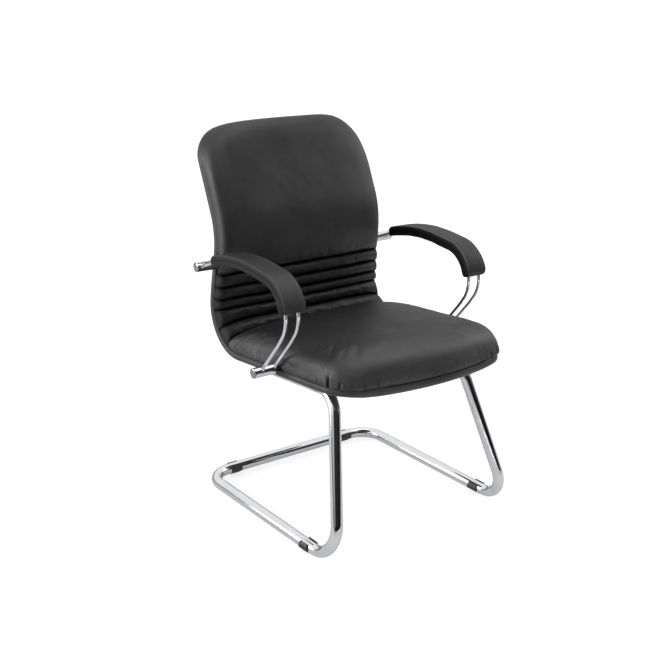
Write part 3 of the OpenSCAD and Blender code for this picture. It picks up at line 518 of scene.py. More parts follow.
def even_stops(rise, start, end, step, height):
    """Lengths from start to end, evenly spaced along the profile (s, height * rise(s)). The
    profile is measured at stations that crowd at its upright ends, by (1 - cos t) / 2."""
    s = start + (end - start) * (1 - np.cos(np.linspace(0, math.pi, FINE))) / 2
    run = np.concatenate([[0], np.cumsum(np.hypot(np.diff(s), np.diff(height * rise(s))))])
    return np.interp(np.linspace(0, run[-1], int(run[-1] / step) + 1), run, s)


def squared(c, power):
    """Superelliptic cosine or sine: the sign of c times |c|^(2 / power)."""
    return np.sign(c) * np.abs(c) ** (2 / power)


def ring_grid(s, angles, half, crown_half, rise, power, inner, seam, inner_d):
    """Rings of a padded form as (s, x, d), one row for each s: an arch
    x = (w + (v - w) u) c, d = seam + h u with u = sin^(2/p), c = cos^(2/p),
    and then the four corners of the recess."""
    s, half, crown_half, rise, inner, inner_d = (
        np.broadcast_to(v, s.shape)[:, None] for v in (s, half, crown_half, rise, inner, inner_d))
    up, across = squared(np.sin(angles), power), squared(np.cos(angles), power)
    x = np.concatenate([(half + (crown_half - half) * up) * across,
                        -inner, -inner, inner, inner], 1)
    low = seam + 0 * inner
    d = np.concatenate([seam + rise * up, low, inner_d, inner_d, low], 1)
    return np.stack([s + 0 * x, x, d], -1)


def on_skin(grid):
    """Points in space of a grid of (s, x, d)."""
    return skin_point(*np.moveaxis(grid, -1, 0))


def ring_faces(rows, columns):
    """Faces of a closed skin over rings, with caps that join the arch to the recess."""
    m = columns - RECESS - 1
    k = np.arange(m)
    cap = np.stack([k, k + 1, np.where(k < m // 2, m + 3, m + 2)], 1)
    cap = np.concatenate([cap, [[m // 2, m + 2, m + 3], [m, m + 1, m + 2], [0, m + 3, m + 4]]])
    return [grid_faces(rows, columns, around=True), cap, cap + (rows - 1) * columns]


print("a ring has", RECESS, "points for the recess of the shell")


# %% [markdown]
# ## Sewn and stuffed details
# What makes upholstery look sewn is where the thread pulls it in. Along the seam by the shell's
# edge the leather is tucked, at the front corners it is gathered into pinches, and where a cross
# tube passes through it is dimpled. Each of these is a small move of the rings' points, written
# in their own coordinates: along the line, across it, and out of it. Foam is never quite even
# either, so a soft noise lifts the arch a little, and fades out towards the seam.

# %% Sculpting helpers
FOAM_FADE, FAR_S, SEAM_HOLD = 30.0, 900.0, 5.0


def bell(t):
    """Bell curve exp(-t t)."""
    return np.exp(-np.square(t))


def outward(s, x, start, end, half, power=6):
    """Outward direction (along, across) of the outline of a form: the gradient of
    |a|^p + |b|^p, where a and b run from -1 to 1 along and across the form."""
    a, b = (2 * s - start - end) / (end - start), x / half
    ga, gb = squared(a, 2 / (power - 1)), squared(b, 2 / (power - 1))
    size = np.hypot(ga, gb) + 1e-9
    return ga / size, gb / size


def drawn_in(grid, amount, start, end):
    """Grid whose arch is moved inwards by an amount, square to the outline."""
    made = grid.copy()
    arch = made[:, :-RECESS]
    ns, nx = outward(arch[..., 0], arch[..., 1], start, end, half_width(arch[..., 0]))
    arch[..., 0] -= amount * ns
    arch[..., 1] -= amount * nx
    return made


def dimple(s, over_seam, place, depth, run, height):
    """Dimple round a cross tube at a place on the line: a bell along it and one over the seam."""
    return depth * bell((s - place) / run) * bell(over_seam / height)


def foam_hills(arch, over_seam, lift, big, small, share):
    """Unevenness of foam: noise of two (size, seed) pairs, the small one by a share."""
    hills = lattice_noise(on_skin(arch), *big) + share * lattice_noise(on_skin(arch), *small)
    return lift * hills * np.clip(over_seam / FOAM_FADE, 0, 1)


def round_form(s, t, corner_r, crown_share, run, power):
    """Half widths of the seam and of the arch's top near a form's round end, at distance t from
    it:
    the top is drawn in by round corners that are larger by a share."""
    half, full = half_width(s) - corner_cut(t, corner_r), end_rise(t, run, power)
    return half, half * (1 - full) + full * (half_width(s) - corner_cut(t, corner_r * crown_share))


print("bell at 0, 1 and 2:", [round(float(bell(t)), 3) for t in (0, 1, 2)])

# %% [markdown]
# ## Leather that settles
# Leather over foam isn't as smooth as a formula. It is cut a little larger than the foam, sewn
# fast along its seams and creases, and finds its own small folds. A short cloth simulation does
# the same: each skin is held where it is sewn, is a few thousandths too large, and a light
# pressure from inside lets it buckle. The movement is capped so the cushion keeps its form.

# %% Settle a skin
SIM_FRAMES, SIM_PRESSURE, SETTLE_CAP, HOLD_LEVELS = 20, 4.0, 3.0, 10


def settled(piece, spare, cap=SETTLE_CAP):
    """Cloth run on a piece: points with "sewn" 1 are held, spare is the share by which the skin
    is too large, and no point ends further than cap millimetres from its start."""
    mesh = piece.data
    count = len(mesh.vertices)
    held, start = np.empty(count, np.float32), np.empty(3 * count, np.float32)
    mesh.attributes["sewn"].data.foreach_get("value", held)
    mesh.vertices.foreach_get("co", start)
    group = piece.vertex_groups.new(name="sewn")
    for level in range(1, HOLD_LEVELS + 1):
        group.add(np.flatnonzero(np.round(held * HOLD_LEVELS) == level).tolist(),
                  level / HOLD_LEVELS, "REPLACE")
    cloth = piece.modifiers.new("settle", "CLOTH")
    facts = cloth.settings
    facts.quality, facts.mass, facts.air_damping = 6, 0.15, 2.0
    facts.tension_stiffness = facts.compression_stiffness = 15.0
    facts.shear_stiffness, facts.bending_stiffness = 6.0, 1.2
    facts.vertex_group_mass, facts.pin_stiffness = "sewn", 1.0
    facts.use_pressure, facts.uniform_pressure_force = True, SIM_PRESSURE
    facts.shrink_min = -spare
    facts.effector_weights.gravity = 0.0
    cloth.point_cache.frame_start, cloth.point_cache.frame_end = 1, SIM_FRAMES
    for frame_number in range(1, SIM_FRAMES + 1):
        bpy.context.scene.frame_set(frame_number)
    shown = piece.evaluated_get(bpy.context.evaluated_depsgraph_get()).to_mesh()
    end = np.empty(3 * count, np.float32)
    shown.vertices.foreach_get("co", end)
    piece.modifiers.remove(cloth)
    bpy.context.scene.frame_set(1)
    move = (end - start).reshape(-1, 3)
    length = np.linalg.norm(move, axis=1, keepdims=True) + 1e-9
    move = move * (cap * MM * np.tanh(length / (cap * MM)) / length)
    mesh.vertices.foreach_set("co", (start.reshape(-1, 3) + move).ravel())
    mesh.update()
    return float(np.abs(length).max() / MM)


def upholstered(name, node, grid, shade, sewn=None, spare=0.0):
    """Padded leather piece from rings of (s, x, d). Its painted shade and sewn are given on its
    arch, and a skin with sewn points settles."""
    recess = ((0, 0), (0, RECESS))
    values = {"crown": np.pad(shade, recess, constant_values=1.0)}
    if sewn is not None:
        values["sewn"] = np.pad(sewn, recess, constant_values=1.0)
    piece = make_piece(name, on_skin(grid), ring_faces(*grid.shape[:2]), seat_leather,
                       "black_leather", node, **values)
    if sewn is not None:
        print(name, "moved", round(settled(piece, spare), 2), "mm at most before the cap")
    print(name, "from", grid.shape[:2], "points")
    return piece


print("cloth run:", SIM_FRAMES, "frames, quick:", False)

# %% [markdown]
# ## Seat cushion
# The seat is a foam block under leather, 52 mm thick over the shell, that thins to the back
# where the lower back's first crease holds it down. Its front is a full round nose. The skin's
# length is walked in even steps, so the nose gets as many rows as its curve needs.

# %% Rings of the seat cushion
BACK_FOAM, SEAT_FOAM, CREASE_DEPTH, FIRST_CREASE_RUN = 28.0, 52.0, 13.0, 36.0
CREASE_S = BEND_S + FIRST_CREASE_RUN
NOSE_S, NOSE_RUN, SEAT_REAR_RUN, TIP = -20.0, 105.0, 208.0, 1e-5
FRONT_CORNER_R, SEAT_CROWN_SHARE, SEAT_STEP, ACROSS = 53.0, 1.6, 3.9, 145
CREASE_H = BACK_FOAM + SHELL_T + SEAM_DROP - CREASE_DEPTH
SEAT_H = SEAT_FOAM + SHELL_T + SEAM_DROP
RECESS_D = SHELL_T + GAP


def seat_rise(s):
    """Height of the seat's arch over the seam: the crease's, raised to the seat's, times the
    round of the nose."""
    body = CREASE_H + (SEAT_H - CREASE_H) * end_rise(CREASE_S - s, SEAT_REAR_RUN, 2)
    return body * end_rise(s - NOSE_S, NOSE_RUN, NOSE_POWER)


def recess_d(s):
    """Top of the recess: over the shell it clears the wood, past its ends it is shut."""
    return np.where((s < -GAP) | (s > SHELL_END_S + GAP), -SEAM_DROP + SHUT, RECESS_D)


seat_s = even_stops(lambda s: seat_rise(s) / SEAT_H, NOSE_S + TIP, CREASE_S - GAP, SEAT_STEP,
                    SEAT_H)
seat_half, seat_crown = round_form(seat_s, seat_s - NOSE_S, FRONT_CORNER_R, SEAT_CROWN_SHARE,
                                   NOSE_RUN, NOSE_POWER)
seat_grid = ring_grid(seat_s, even_angles(SEAT_W / 2, SEAT_H, SEAT_POWER, ACROSS), seat_half,
                      seat_crown, seat_rise(seat_s), SEAT_POWER,
                      shell_half(np.maximum(seat_s, -GAP)), -SEAM_DROP, recess_d(seat_s))
print("seat rings:", seat_grid.shape[:2])

# %% [markdown]
# ## Pinches of the seat
# Leather that turns a round corner is too long at the seam, so it is gathered there. The few deep
# pinches sit by the front corners, each at its own length of edge, and the front edge between
# the corners has fine gathers. Just in front of the lower cross tube the side has a soft fold.

# %% Sculpt and settle the seat cushion
LOWER_CROSS_S = 287.0
PINCH_H, PINCH_SHADE_DEPTH, RIGHT_SHIFT = 9.0, 6.0, 7.0
# Each pinch: its length of edge, its depth, its width along the edge and its height.
PINCHES = [(83.0, 12.0, 3.6, 15.0), (50.0, 5.0, 2.8, 11.0), (24.0, 2.5, 3.0, 9.0),
           (0.0, 3.6, 2.8, 10.0), (-31.0, 3.4, 2.8, 9.0), (-58.0, 2.2, 3.0, 8.0),
           (108.0, 2.2, 4.0, 9.0), (133.0, 2.0, 4.5, 9.0)]
TUCK, TUCK_H = 2.0, 3.5
FOLD, FOLD_H, FOLD_WIDTH, FOLD_FORWARD, FOLD_RUN = 3.5, 20.0, 6.0, 28.0, 30.0
GATHER, GATHER_PITCH, GATHER_H, GATHER_RUN = 0.9, 2.1, 7.0, 40.0
WANDER, WANDER_PITCH = 2.0, 31.0
SEAT_DIMPLE, SEAT_HILLS = (7.0, 24.0, 16.0), (1.1, (55, 3), (17, 4), 0.35)
# painted shade along the seam and in the pinches, and the skin's spare
SEAM_SHADE, SEAM_SHADE_H, PINCH_SHADE, SEAT_SPARE = 0.35, 2.5, 0.9, 0.006


def edge_length(s, x):
    """Length of edge from where a front corner starts: negative along the front, R times the
    angle round the corner, and on along the side. The right side's is shifted a little."""
    straight, corner_s = SEAT_W / 2 - FRONT_CORNER_R, NOSE_S + FRONT_CORNER_R
    past = np.abs(x) - straight
    turn = np.arctan2(np.maximum(past, 0), np.maximum(corner_s - s, 1e-6))
    return (FRONT_CORNER_R * turn + np.minimum(past, 0) + np.maximum(s - corner_s, 0)
            - RIGHT_SHIFT * (x > 0))


seat_arch = seat_grid[:, :-RECESS]
s, x, d = np.moveaxis(seat_arch, -1, 0)
over_seam, edge = d + SEAM_DROP, edge_length(s, x)
pinch = sum(depth * bell((edge - run) / wide) * bell((over_seam - PINCH_H) / high)
            for run, depth, wide, high in PINCHES)
fold = (FOLD * bell((over_seam - FOLD_H) / FOLD_WIDTH)
        * bell((s - LOWER_CROSS_S + FOLD_FORWARD) / FOLD_RUN))
gathers = (GATHER * np.sin(x / GATHER_PITCH + WANDER * np.sin(x / WANDER_PITCH))
           * bell((over_seam - GATHER_H) / GATHER_H) * bell((s - NOSE_S) / GATHER_RUN))
drawn = (TUCK * bell(over_seam / TUCK_H) + gathers + pinch
         + dimple(s, over_seam, LOWER_CROSS_S, *SEAT_DIMPLE) + fold)
hills = foam_hills(seat_arch, over_seam, *SEAT_HILLS)
seat_grid = drawn_in(seat_grid, drawn, NOSE_S, FAR_S)
seat_grid[:, :-RECESS, 2] += hills
# painted shade: darker along the seam and in the pinches, where shade falls
seat_shade = ((1 - SEAM_SHADE * bell(over_seam / SEAM_SHADE_H))
              * (1 - PINCH_SHADE * np.clip(pinch / PINCH_SHADE_DEPTH, 0, 1)))
seat_sewn = bell(over_seam / SEAM_HOLD)
seat_sewn[-2:] = 1
upholstered("leather_seat_cushion", "seat_cushion", seat_grid, seat_shade, seat_sewn,
            SEAT_SPARE)

# %% [markdown]
# ## Back cushion
# The back is thinner than the seat. Six sewn creases across the lower back leave five rolls
# between them, and above the last crease the foam rises to one smooth panel. A roll's height
# follows a sine between its two creases, with a low power that makes it full and its creases
# narrow.

# %% Rings of the back cushion
CREASE_SHARES = np.array([0, 0.28, 0.53, 0.67, 0.83, 1])
UPPER_CROSS_RUN, LAST_CREASE_GAP = 100.0, 16.0
UPPER_CROSS_S = LOWER_BACK_S + UPPER_CROSS_RUN
ROLLS_RUN = UPPER_CROSS_S - CREASE_S - LAST_CREASE_GAP
CREASES = CREASE_S + ROLLS_RUN * CREASE_SHARES
TOP_OVERHANG, TOP_CORNER_R, TOP_RUN, BACK_RISE_RUN = 18.0, 82.0, 94.0, 36.0
BACK_TOP_S = SHELL_END_S + TOP_OVERHANG
BACK_H = BACK_FOAM + SHELL_T + SEAM_DROP
BACK_CROWN_SHARE, BACK_STEP, ROLL_POWER = 1.9, 2.6, 0.7


def roll_rise(s):
    """Height of a roll over its creases: depth * sin(pi f)^p, f the share of the way."""
    k = np.clip(np.searchsorted(CREASES, s, side="right") - 1, 0, len(CREASES) - 2)
    f = np.clip((s - CREASES[k]) / (CREASES[k + 1] - CREASES[k]), 0, 1)
    return CREASE_DEPTH * np.sin(math.pi * f) ** ROLL_POWER


def back_rise(s):
    """Height of the back's arch over the seam: rolls, then the panel, then its round top."""
    panel = (BACK_H - CREASE_H) * end_rise(s - CREASES[-1], BACK_RISE_RUN, 2)
    body = CREASE_H + np.where(s < CREASES[-1], roll_rise(s), panel)
    return body * end_rise(BACK_TOP_S - s, TOP_RUN, FORM_POWER)


back_s = even_stops(lambda s: back_rise(s) / BACK_H, CREASE_S + GAP, BACK_TOP_S - TIP, BACK_STEP,
                    BACK_H)
back_half, back_crown = round_form(back_s, BACK_TOP_S - back_s, TOP_CORNER_R, BACK_CROWN_SHARE,
                                   TOP_RUN, FORM_POWER)
back_grid = ring_grid(back_s, even_angles(BACK_W / 2, BACK_H, FORM_POWER, ACROSS), back_half,
                      back_crown, back_rise(back_s), FORM_POWER,
                      shell_half(np.minimum(back_s, SHELL_END_S + GAP)), -SEAM_DROP,
                      recess_d(back_s))
print("back rings:", back_grid.shape[:2], "with", len(CREASES), "creases")

# %% [markdown]
# ## Stitches of the back
# The thread of a crease cuts a narrow line into the rolls and lets go of it near the side. There
# the creases run down a little, like a fan, and the leather between them puckers. The smooth
# panel over them is partly held while it settles, as if it were glued to its foam.

# %% Sculpt and settle the back cushion
STITCH, STITCH_WIDTH, STITCH_POWER, STITCH_H = 2.6, 3.2, 14, 12.0
PUCKER, PUCKER_SLANT, PUCKER_PITCH, PUCKER_REACH = 1.3, 0.8, 11.0, 8.0
PUCKER_SHARE, PUCKER_BAND = 0.93, 0.07
FAN, FAN_SHARE, FAN_BAND, FAN_RUN = 9.0, 0.72, 0.28, 60.0
ROLLS_END, ROLLS_FADE = 12.0, 10.0
BACK_TUCK_H, CREASE_HOLD, PANEL_HOLD, PANEL_HOLD_S, PANEL_HOLD_RUN = 3.0, 2.4, 0.6, 12.0, 40.0
BACK_DIMPLE, BACK_HILLS = (6.0, 22.0, 14.0), (0.9, (60, 7), (19, 8), 0.3)
# painted shade of the back, and the skin's spare
BACK_SEAM_SHADE, BACK_SEAM_SHADE_H, CREASE_SHADE, CREASE_SHADE_WIDTH = 0.3, 2.0, 0.97, 4.6
ROLL_SHADE, ROLL_END_SHADE, ROLL_END_SHARE, ROLL_END_BAND = 0.4, 0.5, 0.9, 0.08
PANEL_SHADE, PANEL_EDGE_SHARE, PANEL_EDGE_BAND, BACK_SPARE = 0.3, 0.75, 0.2, 0.007

back_arch = back_grid[:, :-RECESS]
s, x, d = np.moveaxis(back_arch, -1, 0)
over_seam = d + SEAM_DROP
edge_share = np.clip(np.abs(x) / half_width(s), 0, 1)
crease_near = np.min(np.abs(s[..., None] - CREASES), -1)
in_creases = ease((CREASES[-1] + ROLLS_END - s) / ROLLS_FADE)
stitch = STITCH * bell(crease_near / STITCH_WIDTH) * (1 - edge_share ** STITCH_POWER)
pucker = (PUCKER * np.sin(2 * math.pi * (s - PUCKER_SLANT * np.abs(x)) / PUCKER_PITCH)
          * bell(crease_near / PUCKER_REACH) * bell((edge_share - PUCKER_SHARE) / PUCKER_BAND)
          * in_creases)
fan = FAN * np.clip((edge_share - FAN_SHARE) / FAN_BAND, 0, 1) ** 2 * in_creases
d += pucker - stitch * np.clip(over_seam / STITCH_H, 0, 1)
s -= fan * ease((s - CREASES[0]) / FAN_RUN)
hills = foam_hills(back_arch, over_seam, *BACK_HILLS)
drawn = bell(over_seam / BACK_TUCK_H) + dimple(s, over_seam, UPPER_CROSS_S, *BACK_DIMPLE)
back_sewn = np.maximum(bell(over_seam / SEAM_HOLD), bell(crease_near / CREASE_HOLD))
back_sewn = np.maximum(back_sewn, PANEL_HOLD
                       * ease((s - CREASES[-1] - PANEL_HOLD_S) / PANEL_HOLD_RUN))
back_sewn[:2] = 1
back_grid = drawn_in(back_grid, drawn, -FAR_S, BACK_TOP_S)
back_grid[:, :-RECESS, 2] += hills
# painted shade: darker along the seam, nearly black in the creases, darker over the rolls and at
# their ends by the sides, and darker in the middle of the panel than at its edges
back_shade = ((1 - BACK_SEAM_SHADE * bell(over_seam / BACK_SEAM_SHADE_H))
              * (1 - CREASE_SHADE * bell(crease_near / CREASE_SHADE_WIDTH))
              * (1 - ROLL_SHADE * in_creases)
              * (1 - ROLL_END_SHADE * in_creases
                 * ease((edge_share - ROLL_END_SHARE) / ROLL_END_BAND))
              * (1 - PANEL_SHADE * (1 - in_creases)
                 * (1 - ease((edge_share - PANEL_EDGE_SHARE) / PANEL_EDGE_BAND))))
upholstered("leather_back_cushion", "back_cushion", back_grid, back_shade, back_sewn,
            BACK_SPARE)

# %% [markdown]
# ## Covers under the seat and behind the back
# The shell's hidden side is closed by two upholstered panels, boxed at their edges. They have
# the same rings as the cushions, upside down and squarer, and their edge is the narrow border
# that the photograph shows along the seat's side and front. The border bulges a little between
# its two seams.

# %% Cover panels
COVER_DEPTH, COVER_WALL, COVER_SIDE_WALL, COVER_INSET = 36.0, 4.0, 12.0, 2.0
COVER_SEAM = -SEAM_DROP - GAP
COVER_H = COVER_DEPTH - SEAM_DROP - GAP
UNDER_CORNER_R, COVER_END_RUN, COVER_STEP = 1.33 * FRONT_CORNER_R, 14.0, 5.0
UPPER_SEAM, UPPER_SEAM_H, LOWER_SEAM, LOWER_SEAM_H, BULGE = 2.2, 4.0, 2.0, 5.0, 3.0
# painted shade along the cover's seam
COVER_SHADE, COVER_SHADE_H = 0.4, 3.0


def cover_half(s):
    """Half width of a cover: the upholstery's, less an inset and round corners."""
    return (half_width(s) - COVER_INSET - corner_cut(s - NOSE_S - COVER_INSET, UNDER_CORNER_R)
            - corner_cut(BACK_TOP_S - COVER_INSET - s, TOP_CORNER_R))


def cover_rings(s, start, end, round_start, round_end):
    """Rings of a cover from start to end; a round end rises over a short run."""
    rise = -COVER_H * np.ones_like(s)
    if round_start:
        rise = rise * end_rise(s - start, COVER_END_RUN, FORM_POWER)
    if round_end:
        rise = rise * end_rise(end - s, COVER_END_RUN, FORM_POWER)
    half = cover_half(s)
    rim_a, rim_b = (COVER_WALL + COVER_SIDE_WALL * is_round
                    for is_round in (round_start, round_end))
    inner_d = np.where((s < start + rim_a) | (s > end - rim_b), COVER_SEAM - SHUT,
                       COVER_WALL - COVER_DEPTH)
    angles = even_angles(SEAT_W / 2, COVER_H, COVER_POWER, ACROSS)
    grid = ring_grid(s, angles, half, half, rise, COVER_POWER, half - COVER_SIDE_WALL,
                     COVER_SEAM, inner_d)
    under_seam = COVER_SEAM - grid[:, :-RECESS, 2]
    rim = (UPPER_SEAM * bell(under_seam / UPPER_SEAM_H)
           + LOWER_SEAM * bell((under_seam - COVER_H) / LOWER_SEAM_H) - BULGE)
    return drawn_in(grid, rim, NOSE_S, BACK_TOP_S)


def cover_piece(name, node, start, end, round_start, round_end):
    low, high = start + TIP * round_start, end - TIP * round_end
    s = even_stops(lambda v: end_rise(v - start, COVER_END_RUN, FORM_POWER) * round_start
                   + end_rise(end - v, COVER_END_RUN, FORM_POWER) * round_end, low, high,
                   COVER_STEP, COVER_H)
    grid = cover_rings(s, start, end, round_start, round_end)
    # painted shade: darker along the seam
    shade = 1 - COVER_SHADE * bell((COVER_SEAM - grid[:, :-RECESS, 2]) / COVER_SHADE_H)
    return upholstered(name, node, grid, shade)


cover_piece("leather_under_cover", "seat_under_cover", NOSE_S + COVER_INSET, BEND_S - GAP,
            True, False)
cover_piece("leather_back_cover", "back_cover", BEND_S, BACK_TOP_S - COVER_INSET, False, True)

# %% [markdown]
# ## Tubes and rods
# A bent tube is a circle carried along a route of straight legs and round bends. The route is
# walked leg by leg, and the circle stands square to it everywhere. A wall is given by carrying a
# second, smaller circle back inside, so the tube's ends are open rings as on the real one.

# %% Route and sweep helpers
def rounded_route(corners, radii, step=4.0):
    """Points and directions along a route with a round bend at each inner corner: the bend's
    centre lies on the corner's bisector, and its points turn from one leg to the next."""
    corners = np.asarray(corners, float)
    points, headings = [corners[0]], [corners[1] - corners[0]]
    for before, corner, after, r in zip(corners[:-2], corners[1:-1], corners[2:], radii):
        u, v = corner - before, after - corner
        u, v = u / np.linalg.norm(u), v / np.linalg.norm(v)
        turn = math.acos(float(u @ v))
        side = v - u * (u @ v)
        side = side / np.linalg.norm(side)
        first = corner - u * r * math.tan(turn / 2)
        t = np.linspace(0, turn, int(math.degrees(turn) / step) + 2)[:, None]
        points.extend(first + r * (np.sin(t) * u + (1 - np.cos(t)) * side))
        headings.extend(np.cos(t) * u + np.sin(t) * side)
    points.append(corners[-1])
    headings.append(corners[-1] - corners[-2])
    headings = np.array(headings)
    return np.array(points), headings / np.linalg.norm(headings, axis=1)[:, None]


def swept(points, headings, radius, reference, count=48):
    """Circle of a radius carried along a path: p + r (cos t n + sin t b), where n is the
    reference direction made square to the path and b is the heading x n."""
    n = reference - (headings @ reference)[:, None] * headings
    n = n / np.linalg.norm(n, axis=1)[:, None]
    b = np.cross(headings, n)
    t = np.arange(count) * 2 * math.pi / count
    r = np.broadcast_to(radius, len(points))[:, None, None]
    ring = np.cos(t)[None, :, None] * n[:, None] + np.sin(t)[None, :, None] * b[:, None]
    return points[:, None] + r * ring


def walled(points, headings, radius, wall, reference, count=48):
    """Outer and inner circles as one closed grid of a tube with open ends."""
    outer = swept(points, headings, radius, reference, count)
    inner = swept(points, headings, radius - wall, reference, count)[::-1]
    return np.concatenate([outer, inner, outer[:1]])


def lathed(profile, origin, axis, count=48):
    """Profile of (radius, height) pairs turned about an axis through an origin."""
    axis = np.asarray(axis, float) / np.linalg.norm(axis)
    side = np.cross(axis, [0.0, 0.6, 0.8])
    side = side / np.linalg.norm(side)
    other = np.cross(axis, side)
    t = np.arange(count) * 2 * math.pi / count
    r, h = np.asarray(profile, float).T
    ring = np.cos(t)[:, None] * side + np.sin(t)[:, None] * other
    return np.asarray(origin, float) + r[:, None, None] * ring + h[:, None, None] * axis


print("a right-angled bend of 66 mm has", len(rounded_route([(0, 0, 0), (99, 0, 0), (99, 99, 0)],
                                                            [66])[0]), "points")


# %% [markdown]
# ## Frame tube
# One tube of 28 mm makes the whole frame: from under the seat forward along the top rails, down
# the uprights, which lean in and back, to the floor rails, and round behind. It is bent in six
# places. The route's corners come from the seat line, because the top rails lie under it.

# %% Frame tube
TUBE_R, TUBE_WALL, TUBE_SIDES, BEND_R, GLIDE_T = 14.0, 2.0, 64, 66.0, 3.5
RAIL_H = GLIDE_T + TUBE_R
BASE_RUN, BASE_W, TOP_RAIL_W = 577.0, 536.0, 386.0
UPRIGHT_LEAN, RAIL_END_GAP = 119.0, 20.0
PLATE_TOP_D = -(COVER_DEPTH + GAP)
RAIL_D = PLATE_TOP_D - TUBE_R
FOOT_Y = REAR_RAIL_Y - BASE_RUN
TOP_CORNER_S = ((FOOT_Y + UPRIGHT_LEAN - SEAT_START[0] - RAIL_D * math.sin(-SEAT_START[2]))
                / math.cos(SEAT_START[2]))
RAIL_END_S = BEND_S - RAIL_END_GAP
ASKEW = np.array([0.55, -0.5, 0.67])

rail_end = beside(seat_at(RAIL_END_S), RAIL_D)
top_corner = beside(seat_at(TOP_CORNER_S), RAIL_D)
half_route = [(TOP_RAIL_W / 2, *rail_end), (TOP_RAIL_W / 2, *top_corner),
              (BASE_W / 2, FOOT_Y, RAIL_H), (BASE_W / 2, REAR_RAIL_Y, RAIL_H)]
frame_route = half_route + [(-x, y, z) for x, y, z in reversed(half_route)]
frame_points, frame_headings = rounded_route(frame_route, [BEND_R] * (len(frame_route) - 2))
ringed_piece("bent_frame_tube", "frame_tube",
             walled(frame_points, frame_headings, TUBE_R, TUBE_WALL, ASKEW, TUBE_SIDES),
             tube_chrome, "chrome_tube")
print("frame tube:", len(frame_points), "stations, top corner at",
      [round(float(v), 1) for v in top_corner])

# %% [markdown]
# ## Cross tubes and their caps
# Two straight tubes of 25 mm pass through the sides of the upholstery, one under the seat and
# one behind the back, and carry the arms. Each end is closed by a domed cap with a thin rim,
# whose plug sits inside the tube.

# %% Cross tubes
CROSS_R, CROSS_WALL = 12.5, 1.5
CROSS_REACH = {"lower": 60.5, "upper": 51.0}
CROSS_HALF = {level: SEAT_W / 2 + reach for level, reach in CROSS_REACH.items()}
CROSS_D = -(CROSS_R + GAP)
CAP_PLUG, CAP_EDGE, CAP_RIM = 12, 0.4, 1.1
DOME_FOOT, DOME_H, DOME_START, DOME_ROWS = 1.2, 2.4, 0.12, 12


def cross_place(s):
    return beside(seat_at(s), CROSS_D)


def cross_piece(name, node, s, half):
    y, z = cross_place(s)
    ends = np.array([[-half, y, z], [half, y, z]], float)
    headings = np.tile([1.0, 0.0, 0.0], (2, 1))
    grid = walled(ends, headings, CROSS_R, CROSS_WALL, np.array([0.0, 0.0, 1.0]))
    return ringed_piece(name, node, grid, tube_chrome, "chrome_tube")


def cap_piece(name, node, s, end):
    """Cap: a plug inside the tube, a rim as wide as the tube, and a dome."""
    bore = CROSS_R - CROSS_WALL - GAP
    dome = [(CROSS_R * math.cos(t), DOME_FOOT + DOME_H * math.sin(t))
            for t in np.linspace(DOME_START, math.pi / 2, DOME_ROWS)]
    profile = [(0, -CAP_PLUG), (bore, -CAP_PLUG), (bore, 0), (CROSS_R - CAP_EDGE, 0),
               (CROSS_R, CAP_EDGE), (CROSS_R, CAP_RIM)] + dome
    grid = lathed(profile, (end, *cross_place(s)), (math.copysign(1, end), 0, 0))
    return ringed_piece(name, node, grid, cap_chrome, "chrome_tube")


for level, place_s in (("upper", UPPER_CROSS_S), ("lower", LOWER_CROSS_S)):
    cross_piece(f"{level}_through_tube", f"{level}_cross_tube", place_s, CROSS_HALF[level])
    for word, side in (("left", -1), ("right", 1)):
        cap_piece(f"{level}_{word}_domed_cap", f"{level}_{word}_cap", place_s,
                  side * CROSS_HALF[level])
    print(level, "cross tube at", [round(float(v), 1) for v in cross_place(place_s)])

# %% [markdown]
# ## Arm rods
# Each arm is two bent rods side by side, welded between the cross tubes. They rise forward,
# turn back at the front corner and run level under the pad. At each end the weld is a small
# flare of the rod that sinks into the cross tube.

# %% Arm rods
ARM_OUT, ROD_GAP, ROD_R = 22.6, 34.4, 4.0
ARM_X = SEAT_W / 2 + ARM_OUT
KNUCKLE, ARM_FRONT, CREST = [-73.0, 83.5], [-169.0, 212.5], [-147.0, 56.0]
KNUCKLE_SHARE, FRONT_SHARE, CREST_SHARE = 0.36, 0.84, 0.72
WELD_R, WELD_RUN, WELD_SINK, ROD_SIDES, ROD_STEP = 1.6, 2.2, 0.8, 32, 2.5
WELD_STATIONS = np.array([-4.0, -1.0, -0.4, 0.2, 0.9, 1.8, 3.0, 5.0, 8.0])[:, None]
arm_low = np.array(cross_place(LOWER_CROSS_S), float)
arm_high = np.array(cross_place(UPPER_CROSS_S), float)
ARM_POINTS = np.array([arm_low, arm_low + KNUCKLE, arm_low + ARM_FRONT, arm_high + CREST,
                       arm_high])
arm_legs = np.hypot(*np.diff(ARM_POINTS, axis=0).T)
front_cut = FRONT_SHARE * min(arm_legs[1], arm_legs[2])
ARM_CUTS = [KNUCKLE_SHARE * min(arm_legs[0], arm_legs[1] - front_cut), front_cut,
            CREST_SHARE * min(arm_legs[2] - front_cut, arm_legs[3])]


def turns_of(corners):
    """Turn at each inner corner of a flat line, left positive: atan2(u x v, u . v)."""
    legs = np.diff(corners, axis=0)
    return np.array([math.atan2(u[0] * v[1] - u[1] * v[0], u @ v)
                     for u, v in zip(legs[:-1], legs[1:])])


ARM_RADII = np.array(ARM_CUTS) / np.tan(np.abs(turns_of(ARM_POINTS)) / 2)


